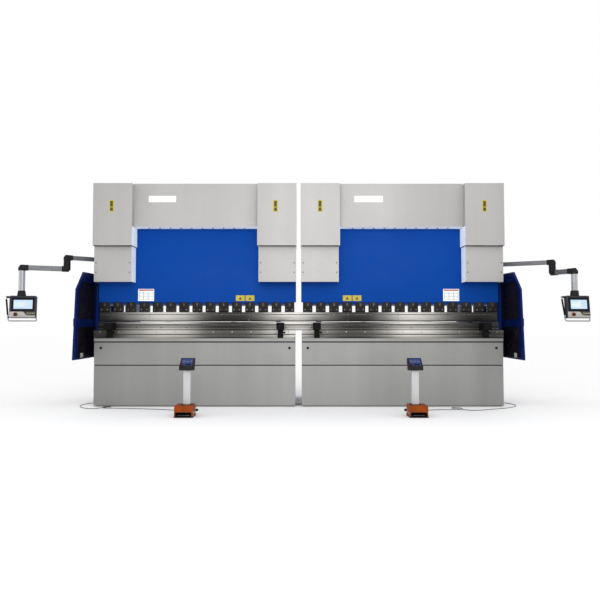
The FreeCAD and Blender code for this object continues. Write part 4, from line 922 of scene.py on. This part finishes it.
for s, a in ARM.items():
    L1 = (Vector(a["knee"]) - Vector(a["root"])).length
    L2 = (Vector(a["wrist"]) - Vector(a["knee"])).length
    m1 = along(a["root"], a["knee"], a["z1"])
    m2 = along(a["knee"], a["wrist"], a["z2"])
    body1, body2 = s + "_arm_inner", s + "_arm_outer"
    k = Kit(m1)
    k.prism(grooved(0.080, 0.068), 0.060, L1 - 0.052)
    k.done(s + "_inner_extrusion", "arm_aluminium", body1, "arm_aluminium", 0.0010, 1, (s + "_first_arm",))
    k = Kit(m1)
    k.lathe([(0, -0.052), (0.040, -0.052), (0.050, -0.042), (0.050, 0.042), (0.042, 0.052), (0.014, 0.052), (0.012, 0.049), (0, 0.049)])
    k.prism(rounded([(-0.043, -0.038), (0.043, -0.038), (0.043, 0.038), (-0.043, 0.038)], 0.012), 0.030, 0.080)
    k.lathe([(0, -0.0440), (0.050, -0.0440), (0.056, -0.038), (0.056, 0.004), (0.030, 0.043), (0.016, 0.0442), (0.014, 0.041), (0, 0.041)], (L1, 0, 0))
    k.prism(rounded([(-0.046, -0.041), (0.046, -0.041), (0.046, 0.036), (0.034, 0.041), (-0.034, 0.041), (-0.046, 0.036)], 0.008), L1 - 0.080, L1 - 0.020)
    k.done(s + "_inner_castings", "black_cast", body1, "black_metal", 0.003, 2)
    k = Kit(m2)
    k.prism(grooved(0.090, 0.076), 0.052, L2 - 0.056)
    k.done(s + "_outer_extrusion", "arm_aluminium", body2, "arm_aluminium", 0.0010, 1, (s + "_second_arm",))
    top = a["z1"] - 0.0446 - a["z2"]
    k = Kit(m2)
    k.lathe([(0, -0.046), (0.024, -0.046), (0.054, -0.008), (0.054, top - 0.004), (0.050, top), (0, top)])
    k.prism(rounded([(-0.050, -0.044), (0.050, -0.044), (0.050, 0.040), (0.038, 0.046), (-0.038, 0.046), (-0.050, 0.040)], 0.010), 0.010, 0.080)
    k.lathe([(0, -0.050), (0.052, -0.050), (0.058, -0.044), (0.058, -0.002), (0.028, 0.045), (0.018, 0.046), (0.016, 0.043), (0, 0.043)], (L2, 0, 0))
    k.prism(rounded([(-0.050, -0.044), (0.050, -0.044), (0.050, 0.036), (0.038, 0.043), (-0.038, 0.043), (-0.050, 0.036)], 0.010), L2 - 0.092, L2 - 0.010)
    k.done(s + "_outer_castings", "black_cast", body2, "black_metal", 0.003, 2)
    # the drop tube, a fluted round extrusion
    pts = []
    for i in range(96):
        t = 2 * math.pi * i / 96
        f = (i % 12)
        r = 0.0478 if f not in (5, 6) else 0.0430
        pts.append((r * math.cos(t), r * math.sin(t)))
    k = Kit(Matrix.Translation((a["wrist"][0], a["wrist"][1], 0)))
    k.prism(pts, a["drop"], a["z2"] - 0.048, "XY")
    k.done(s + "_drop_extrusion", "drop_aluminium", body2, "arm_aluminium", 0.0006, 1)

# ------------------------------------------------------------------ pendants
PEND = {"left": (-4.34779, -0.3699, 1.57417), "right": (4.36421, -0.4399, 1.57217)}
for s, o in PEND.items():
    body = s + "_pendant_unit"
    a = ARM[s]
    T = Matrix.Translation(o) @ Matrix.Rotation(math.radians(10), 4, "Z") @ Matrix.Rotation(math.radians(-5), 4, "X")
    k = Kit(T)
    out = rounded([(-0.198, -0.176), (0.200, -0.176), (0.200, 0.176), (-0.198, 0.176)], 0.016)
    k.prism(out, -0.034, 0.034, "XZ")
    k.prism(rounded([(-0.180, -0.158), (0.182, -0.158), (0.182, 0.158), (-0.180, 0.158)], 0.02), 0.030, 0.0400, "XZ")
    for x in (-0.186, 0.188):
        for z in (-0.120, 0.0, 0.120):
            k.box(x - 0.006, x + 0.006, -0.0372, -0.030, z - 0.045, z + 0.045)
    k.done(s + "_pendant_case", "pendant_plastic", body, "pendant_plastic", 0.004, 3, (s + "_pendant",))
    # cooling slots and a cable plate on the rear of the case
    k = Kit(T)
    for i in range(9):
        k.prism(rounded([(-0.120 + 0.030 * i, -0.130), (-0.108 + 0.030 * i, -0.130), (-0.108 + 0.030 * i, -0.060), (-0.120 + 0.030 * i, -0.060)], 0.005), 0.0395, 0.0412, "XZ")
    k.prism(rounded([(-0.090, 0.010), (0.090, 0.010), (0.090, 0.120), (-0.090, 0.120)], 0.010), 0.0395, 0.0425, "XZ")
    k.done(s + "_pendant_rear", "bezel_black", body, "pendant_plastic", 0.0006, 1)
    # front: black bezel around the screen
    k = Kit(T)
    o4 = [(-0.166, -0.070), (0.176, -0.070), (0.176, 0.146), (-0.166, 0.146)]
    i4 = [(-0.1345, -0.0345), (0.1475, -0.0345), (0.1475, 0.1085), (-0.1345, 0.1085)]
    for i in range(4):
        j = (i + 1) % 4
        k.prism([o4[i], o4[j], i4[j], i4[i]], -0.0425, -0.0335, "XZ")
    k.done(s + "_screen_bezel", "bezel_black", body, "pendant_plastic", 0.0016, 2)
    k = Kit(T)
    k.box(-0.1335, 0.1465, -0.0395, -0.0345, -0.0335, 0.1075)
    k.done(s + "_screen_panel", "screen_glass", body, "screen_glass", 0.0004, 1, (s + "_screen",))
    k = Kit(T)
    k.box(-0.128, 0.141, -0.0400, -0.0393, 0.092, 0.102)
    for i in range(5):
        k.box(-0.126 + i * 0.054, -0.080 + i * 0.054, -0.0400, -0.0393, -0.029, -0.016)
    k.box(0.096, 0.141, -0.0400, -0.0393, 0.000, 0.080)
    k.done(s + "_screen_blocks", "ui_blue", body, "screen_glass")
    k = Kit(T)
    for i in range(6):
        k.box(-0.124, 0.020 + 0.010 * (i % 3), -0.0399, -0.0393, 0.004 + i * 0.0135, 0.0075 + i * 0.0135)
    k.done(s + "_screen_rows", "ui_green", body, "screen_glass")
    # lower band: light field with the stop button, dark field with keys, light strip below
    k = Kit(T)
    k.prism([(-0.190, -0.078), (0.004, -0.078), (0.020, -0.084), (0.034, -0.102), (0.050, -0.124), (0.074, -0.134), (0.192, -0.138),
             (0.192, -0.168), (-0.190, -0.168)], -0.0402, -0.0330, "XZ")
    k.done(s + "_band_light", "pendant_light", body, "pendant_plastic", 0.0012, 2)
    k = Kit(T)
    k.prism([(0.012, -0.078), (0.192, -0.078), (0.192, -0.131), (0.078, -0.128), (0.058, -0.119), (0.042, -0.098), (0.028, -0.081)], -0.0415, -0.0330, "XZ")
    k.done(s + "_band_dark", "plate_dark", body, "pendant_plastic", 0.0012, 2)
    k = Kit(T)
    for i in range(5):
        k.lathe([(0, -0.0045), (0.0062, -0.0045), (0.0078, -0.003), (0.0078, 0), (0, 0)], (0.080 + 0.024 * i, -0.0412, -0.104), "y", 24)
    k.done(s + "_band_keys", "pendant_light", body, "pendant_plastic", 0.0004, 1)
    k = Kit(T)
    k.box(-0.176, 0.178, -0.0420, -0.0395, -0.1485, -0.1455)
    k.done(s + "_band_line", "plate_dark", body, "pendant_plastic")
    k = Kit(T)
    k.ring((-0.099, -0.0402, -0.122), "y", 0.0185, 0.031, -0.004, 48)
    k.done(s + "_stop_ring", "ring_yellow", body, "pendant_plastic", 0.0006, 1)
    k = Kit(T)
    k.lathe([(0, -0.0725), (0.012, -0.0722), (0.020, -0.070), (0.0238, -0.066), (0.0238, -0.061), (0.021, -0.0575), (0.0155, -0.056),
             (0.0155, -0.028), (0, -0.028)], (-0.099, 0.0, -0.122), "y", 48)
    k.done(s + "_stop_head", "stop_red", s + "_stop", "stop_red", 0.0008, 2, (s + "_stop_button",))
    # handle rail around the case
    k = Kit(T)
    k.tube(smooth_path([(-0.256, 0, 0.172), (-0.213, 0, -0.222), (0.206, 0, -0.222), (0.200, 0, -0.166)], 0.034), 0.0108, 20)
    k.done(s + "_handle_rail", "drop_aluminium", body, "arm_aluminium", 0.0006, 1)
    k = Kit(T)
    k.prism(rounded([(-0.262, 0.140), (-0.194, 0.140), (-0.194, 0.170), (-0.262, 0.170)], 0.008), -0.010, 0.010, "XZ")
    k.prism(rounded([(-0.230, -0.176), (-0.194, -0.176), (-0.194, -0.150), (-0.230, -0.150)], 0.006), -0.010, 0.010, "XZ")
    k.tube([(-0.2525, 0, 0.120), (-0.2235, 0, -0.130)], 0.0135, 20)
    k.done(s + "_handle_mounts", "rubber", body, "pendant_plastic", 0.0015, 2)
    # square connector, narrower above
    k = Kit(Matrix.Translation((a["wrist"][0], a["wrist"][1], 0)) @ Matrix.Rotation(math.radians(10), 4, "Z"))
    zt, zb = a["drop"] - 0.0008, a["drop"] - 0.092
    lo4 = rounded([(-0.060, -0.038), (0.060, -0.038), (0.060, 0.038), (-0.060, 0.038)], 0.012)
    hi4 = [(u * 0.80, v * 1.12) for u, v in lo4]
    va = [k.bm.verts.new(k.m @ Vector((u, v, zb))) for u, v in lo4]
    vb = [k.bm.verts.new(k.m @ Vector((u, v, zb + 0.020))) for u, v in lo4]
    vc = [k.bm.verts.new(k.m @ Vector((u, v, zt))) for u, v in hi4]
    for p, q in ((va, vb), (vb, vc)):
        for i in range(len(p)):
            j = (i + 1) % len(p)
            k.bm.faces.new((p[i], p[j], q[j], q[i]))
    k.bm.faces.new(va)
    k.bm.faces.new(vc)
    k.done(s + "_pendant_neck", "black_cast", body, "black_metal", 0.002, 2)

# ------------------------------------------------------------------ foot pedal stands
HOOD = {"left": (-1.604, -1.580, 1), "right": (1.675, 1.650, -1)}
hood = Kit()
cons = Kit()
face = Kit()
rods = Kit()
balls = Kit()
flange = Kit()
for s, (hx, cx, inward) in HOOD.items():
    t = 0.005
    x0, x1, y0, y1, z0, z1 = hx - 0.127, hx + 0.127, -1.450, -1.170, 0.012, 0.165
    prof = rounded([(y0, z0), (y0, z1 - 0.010), (y0 + 0.030, z1), (y1 - 0.012, z1), (y1, z1 - 0.012), (y1, z0)], 0.010)
    # side cheeks
    hood.prism(prof, x0, x0 + t)
    hood.prism(prof, x1 - t, x1)
    # top and back sheet
    hood.box(x0 + t * 0.5, x1 - t * 0.5, y0 + 0.026, y1 - 0.002, z1 - t, z1)
    hood.box(x0 + t * 0.5, x1 - t * 0.5, y1 - t, y1, z0, z1 - 0.008)
    # front apron above the mouth, with an arched lower edge
    arc = [(x0 + 0.002, z1 - 0.012), (x0 + 0.002, z0), (hx - 0.112, z0), (hx - 0.112, 0.062)]
    arc += [(hx - 0.104, 0.072), (hx - 0.090, 0.076), (hx + 0.090, 0.076), (hx + 0.104, 0.072), (hx + 0.112, 0.062)]
    arc += [(hx + 0.112, z0), (x1 - 0.002, z0), (x1 - 0.002, z1 - 0.012)]
    hood.prism(arc, y0, y0 + t, "XZ")
    hood.prism([(y0 + 0.0005, z1 - 0.016), (y0 + 0.0005, z1 - 0.010), (y0 + 0.030, z1), (y0 + 0.034, z1 - 0.004), (y0 + 0.005, z1 - 0.016)],
               x0 + t * 0.5, x1 - t * 0.5)
    # mouth rim
    flange.tube(smooth_path([(hx - 0.112, y0 - 0.001, 0.016), (hx - 0.112, y0 - 0.001, 0.073), (hx + 0.112, y0 - 0.001, 0.073),
                             (hx + 0.112, y0 - 0.001, 0.016)], 0.014), 0.0035, 10)
    # column foot and head flanges
    flange.prism(rounded([(cx - 0.072, -1.352), (cx + 0.072, -1.352), (cx + 0.072, -1.236), (cx - 0.072, -1.236)], 0.012), 0.1652, 0.1722, "XY")
    for dx in (-0.060, 0.060):
        for dy in (-0.0465, 0.0465):
            flange.hexhead((cx + dx, -1.294 + dy, 0.172), "z", 0.0070, 0.0055)
    # console: a black tray with a sloping blue face set in it
    P = [(-1.400, 0.668), (-1.400, 0.690), (-1.222, 0.817), (-1.208, 0.817), (-1.216, 0.760), (-1.262, 0.650), (-1.370, 0.650)]
    cons.prism(rounded(P, 0.006, 3), cx - 0.100, cx + 0.100)
    d = Vector((0.185, 0.132)).normalized()
    up = Vector((-d.y, d.x))
    a0 = Vector((-1.400, 0.690)) + d * 0.012
    a1 = Vector((-1.400, 0.690)) + d * 0.214
    ang = math.atan2(d.y, d.x)
    F = Matrix.Translation((cx, a0.x, a0.y)) @ Matrix.Rotation(ang, 4, "X")
    face.prism(rounded([(-0.078, 0.026), (0.078, 0.026), (0.078, 0.184), (-0.078, 0.184)], 0.008), -0.001, 0.0022, "XY", F)
    # rim
    for q in ((-0.099, -0.0785, 0.0, 0.200), (0.0785, 0.099, 0.0, 0.200)):
        cons.box(q[0], q[1], q[2], q[3], -0.002, 0.005, F)
    cons.box(-0.099, 0.099, -0.003, 0.0255, -0.002, 0.005, F)
    cons.box(-0.099, 0.099, 0.1845, 0.201, -0.002, 0.005, F)
    # carry handle
    p0 = Vector((hx + inward * 0.129, -1.400, 0.0616))
    p1 = Vector((hx + inward * 0.182, -1.400, 0.104))
    rods.tube([p0, p1], 0.006, 20)
    rods.lathe([(0, 0), (0.013, 0), (0.013, 0.005), (0.010, 0.007), (0, 0.007)], (hx + inward * 0.1272 - (0 if inward > 0 else 0.0), -1.400, 0.060),
               "x", 24, Matrix.Identity(4) if inward > 0 else Matrix.Translation((2 * (hx + inward * 0.1272), 0, 0)) @ Matrix.Diagonal((-1, 1, 1, 1)))
    balls.lathe([(0, -0.019)] + [(0.019 * math.cos(math.radians(q)), 0.019 * math.sin(math.radians(q))) for q in range(-80, 81, 10)] + [(0, 0.019)],
                tuple(p1), "z", 36)
    # buttons on the sloping face
    tag = s + "_console"
    bt = Kit(F)
    for x, mname in ((-0.050, None), (0.0, None), (0.050, None)):
        bt.ring((x, 0.130, 0.002), "z", 0.0115, 0.0165, 0.005, 32)
    bt.done(tag + "_bezels", "bolt_zinc", "machine", "dark_steel", 0.0005, 1)
    bt = Kit(F)
    bt.lathe([(0, 0.0), (0.011, 0.0), (0.011, 0.007), (0.009, 0.009), (0, 0.009)], (-0.050, 0.130, 0.001), "z", 32)
    bt.lathe([(0, 0.0), (0.016, 0.0), (0.016, 0.004), (0.0205, 0.007), (0.0205, 0.013), (0.016, 0.018), (0, 0.019)], (-0.060, 0.048, 0.001), "z", 36)
    bt.done(tag + "_stop", "stop_red", "machine", "stop_red", 0.0006, 1)
    bt = Kit(F)
    bt.lathe([(0, 0.0), (0.011, 0.0), (0.011, 0.007), (0.009, 0.009), (0, 0.009)], (0.0, 0.130, 0.001), "z", 32)
    bt.lathe([(0, 0.0), (0.011, 0.0), (0.011, 0.007), (0.009, 0.009), (0, 0.009)], (0.050, 0.130, 0.001), "z", 32)
    bt.prism(rounded([(-0.022, 0.036), (0.066, 0.036), (0.066, 0.078), (-0.022, 0.078)], 0.006), 0.0015, 0.0040, "XY")
    bt.done(tag + "_buttons", "bezel_black", "machine", "black_metal", 0.0005, 1)
hood.done("pedal_hood_shells", "hood_orange", "machine", "hood_orange", 0.0014, 2, ("pedal_hoods",))
cons.done("console_trays", "black_metal", "machine", "black_metal", 0.0012, 2, ("pedestal_consoles",))
face.done("console_faces", "console_blue", "machine", "console_blue", 0.0006, 1)
rods.done("carry_rods", "drop_aluminium", "machine", "arm_aluminium", 0.0004, 1, ("carry_handles",))
balls.done("carry_balls", "rubber", "machine", "black_metal")
flange.done("pedestal_flanges", "bolt_black", "machine", "black_metal", 0.0006, 1)
# tread ribs on the pedals
for s, (hx, cx, inward) in HOOD.items():
    k = Kit()
    for i in range(9):
        k.box(hx - 0.078, hx + 0.078, -1.436 + i * 0.022, -1.428 + i * 0.022, 0.0345, 0.0370)
    k.done(s + "_pedal_tread", "rubber", s + "_foot_pedal", "dark_steel", 0.0008, 1)

# ------------------------------------------------------------------ strain reliefs where the leads enter their glands
k = Kit()
for s, (hx, cx, inward) in HOOD.items():
    k.lathe([(0, 0.0), (0.0115, 0.0), (0.0115, 0.006), (0.0085, 0.012), (0.0062, 0.034), (0.0054, 0.036), (0, 0.036)],
            (hx - inward * 0.060, -1.148, 0.040), "y", 28)
for sg in (-1, 1):
    k.lathe([(0, 0.0), (0.0115, 0.0), (0.0115, -0.006), (0.0085, -0.012), (0.0062, -0.034), (0.0054, -0.036), (0, -0.036)],
            (sg * 3.105, 0.538, 0.200), "y", 28)
k.done("lead_reliefs", "rubber", "machine", "cable_grey", 0.0004, 1)

# ------------------------------------------------------------------ support arms: knobs and stops
for s, sg in (("left", -1), ("right", 1)):
    for which, cx in (("inner", {"left": -0.290, "right": 0.290}[s]), ("outer", {"left": -3.011, "right": 2.976}[s])):
        body = s + "_" + which + "_rest"
        k = Kit()
        k.box(cx - 0.054, cx + 0.054, -0.394, -0.160, 1.3245, 1.3285)
        k.done(s + "_" + which + "_rest_strip", "black_metal", body, "black_metal", 0.0012, 2)
        k = Kit()
        k.prism(rounded([(cx - 0.050, 1.228), (cx + 0.050, 1.228), (cx + 0.050, 1.312), (cx - 0.050, 1.312)], 0.012), -0.4015, -0.3960, "XZ")
        for dx in (-0.036, 0.036):
            k.rod((cx + dx, -0.4050, 1.270), "y", 0.007, 0.005, 20)
        k.done(s + "_" + which + "_rest_cap", "rubber", body, "black_metal", 0.0012, 2)

# ------------------------------------------------------------------ rear and sides: motors, tanks, cabinets, feet
fins = Kit()
tankbits = Kit()
pipes = Kit()
for sg in (-1, 1):
    mx, my = sg * 1.650, 0.800
    lo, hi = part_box("hydraulic_units")
    zt = hi.z
    for i in range(24):
        t = 2 * math.pi * i / 24
        R = Matrix.Translation((mx, my, 0)) @ Matrix.Rotation(t, 4, "Z")
        fins.box(0.108, 0.126, -0.0022, 0.0022, 2.520, zt - 0.075, R)
    fins.lathe([(0, zt - 0.062), (0.100, zt - 0.062), (0.122, zt - 0.050), (0.122, zt - 0.006), (0.112, zt + 0.001), (0, zt + 0.001)], (mx, my, 0), "z", 48)
    fins.box(mx - 0.055, mx + 0.055, my + 0.105, my + 0.160, 2.600, 2.700)
    # tank: lid flange, filler, sight glass frame, drain
    tankbits.prism(rounded([(mx - 0.30, 0.62), (mx + 0.30, 0.62), (mx + 0.30, 0.98), (mx - 0.30, 0.98)], 0.02), 2.400, 2.408, "XY")
    for dx in (-0.28, 0.28):
        for dy in (0.64, 0.96):
            tankbits.hexhead((mx + dx, dy, 2.408), "z", 0.012, 0.009)
    tankbits.lathe([(0, 2.400), (0.045, 2.400), (0.045, 2.420), (0.038, 2.425), (0.038, 2.465), (0.044, 2.470), (0.044, 2.492), (0.036, 2.500), (0, 2.500)],
                   (mx + sg * 0.62, 0.80, 0), "z", 40)
    tankbits.prism(rounded([(mx - 0.62, 2.09), (mx - 0.56, 2.09), (mx - 0.56, 2.31), (mx - 0.62, 2.31)], 0.012), 0.9995, 1.010, "XZ")
    tankbits.rod((mx + 0.90, 1.000, 2.05), "y", 0.024, 0.030, 32)
    # pressure pipes of steel between the pump block and the cylinders
    for end in (0.355, 2.935):
        x1 = sg * end
        pipes.tube(smooth_path([(mx + (0.12 if abs(x1) > 1.65 else -0.12) * sg, 0.80, 2.43), (mx + (0.30 if abs(x1) > 1.65 else -0.30) * sg, 0.80, 2.52),
                                (mx + (0.42 if abs(x1) > 1.65 else -0.42) * sg, 0.48, 2.60), (x1 - (0.10 if abs(x1) > 1.65 else -0.10) * sg, 0.42, 2.60),
                                (x1 - (0.10 if abs(x1) > 1.65 else -0.10) * sg, 0.42, 3.30), (x1 - (0.10 if abs(x1) > 1.65 else -0.10) * sg, 0.10, 3.34),
                                (x1, 0.06, 3.36)], 0.07, 8), 0.012, 16)
fins.done("motor_casings", "motor_grey", "machine", "motor_grey", 0.0010, 1)
tankbits.done("tank_fittings", "bolt_black", "machine", "black_metal", 0.0015, 2)
pipes.done("pressure_pipes", "drop_aluminium", "machine", "arm_aluminium")

feet = Kit()
for sg in (-1, 1):
    for x in (0.355, 2.935):
        for y in (0.150, 1.080):
            for dx in (-0.090, 0.090):
                for dy in (-0.090, 0.090):
                    feet.rod((sg * x + dx, y + dy, 0.0005), "z", 0.0098, 0.048, 20)
                    feet.hexhead((sg * x + dx, y + dy, 0.0188), "z", 0.0165, 0.015)
                    feet.lathe([(0, 0.0152), (0.021, 0.0152), (0.021, 0.0185), (0, 0.0185)], (sg * x + dx, y + dy, 0), "z", 28)
feet.done("anchor_bolts", "bolt_zinc", "machine", "dark_steel", 0.0006, 1)

for s, sg in (("left", -1), ("right", 1)):
    k = Kit()
    for i in range(10):
        z = 0.26 + i * 0.028
        k.prism([(z, 0), (z + 0.016, 0.006), (z + 0.018, 0.0)], 0.72, 1.02, "YZ",
                Matrix(((0, 0, sg, sg * 3.2555), (1, 0, 0, 0), (0, 1, 0, 0), (0, 0, 0, 1))))
    for i in range(8):
        z = 1.14 + i * 0.028
        k.prism([(z, 0), (z + 0.016, 0.006), (z + 0.018, 0.0)], 0.72, 1.02, "YZ",
                Matrix(((0, 0, sg, sg * 3.2555), (1, 0, 0, 0), (0, 1, 0, 0), (0, 0, 0, 1))))
    k.done(s + "_door_louvres", "cabinet_grey", s + "_door", "cabinet_grey")
    k = Kit()
    k.prism(rounded([(0.580, 0.665), (0.620, 0.665), (0.620, 0.855), (0.580, 0.855)], 0.012), sg * 3.2555, sg * 3.2600)
    for z in (0.40, 1.25):
        k.rod((sg * 3.2555 - (0 if sg > 0 else 0.006), 0.600, z), "x", 0.014, 0.006, 28)
    k.done(s + "_door_lock", "black_metal", s + "_door", "black_metal", 0.001, 2)

# ------------------------------------------------------------------ floor, light
bpy.ops.mesh.primitive_plane_add(size=90, location=(0, 20, 0))
floor = bpy.context.object
floor.name = "floor"
fm = bpy.data.materials.new("floor_pale")
fm.use_nodes = True
nt = fm.node_tree
b = nt.nodes["Principled BSDF"]
n = nt.nodes.new("ShaderNodeTexNoise")
n.inputs["Scale"].default_value = 0.8
r = nt.nodes.new("ShaderNodeValToRGB")
r.color_ramp.elements[0].color = (0.975, 0.975, 0.975, 1)
r.color_ramp.elements[1].color = (0.995, 0.995, 0.995, 1)
nt.links.new(n.outputs["Fac"], r.inputs["Fac"])
nt.links.new(r.outputs["Color"], b.inputs["Base Color"])
b.inputs["Roughness"].default_value = 0.85
b.inputs["Specular IOR Level"].default_value = 0.15
floor.data.materials.append(fm)
# painted light: the white liners glow faintly, so they read bright where they sit in shade
liner_glow_bsdf = M["painted_light_white"].node_tree.nodes["Principled BSDF"]
liner_glow_bsdf.inputs["Emission Color"].default_value = (0.78, 0.90, 1.0, 1)
liner_glow_bsdf.inputs["Emission Strength"].default_value = 0.12

world = bpy.data.worlds.new("studio")
world.use_nodes = True
world.node_tree.nodes["Background"].inputs[0].default_value = (1, 1, 1, 1)
world.node_tree.nodes["Background"].inputs[1].default_value = 1.0
scene.world = world


def lamp(name, at, aim, size, watts):
    ld = bpy.data.lights.new(name, "AREA")
    ld.shape = "RECTANGLE"
    ld.size, ld.size_y = size
    ld.energy = watts
    o = bpy.data.objects.new(name, ld)
    o.location = at
    o.rotation_euler = (Vector(aim) - Vector(at)).to_track_quat("-Z", "Y").to_euler()
    scene.collection.objects.link(o)
    return o


lamp("key", (0.0, -8.0, 3.6), (0, 0, 1.9), (7.0, 3.0), 230)
scene.view_settings.view_transform = "Standard"
scene.view_settings.look = "None"

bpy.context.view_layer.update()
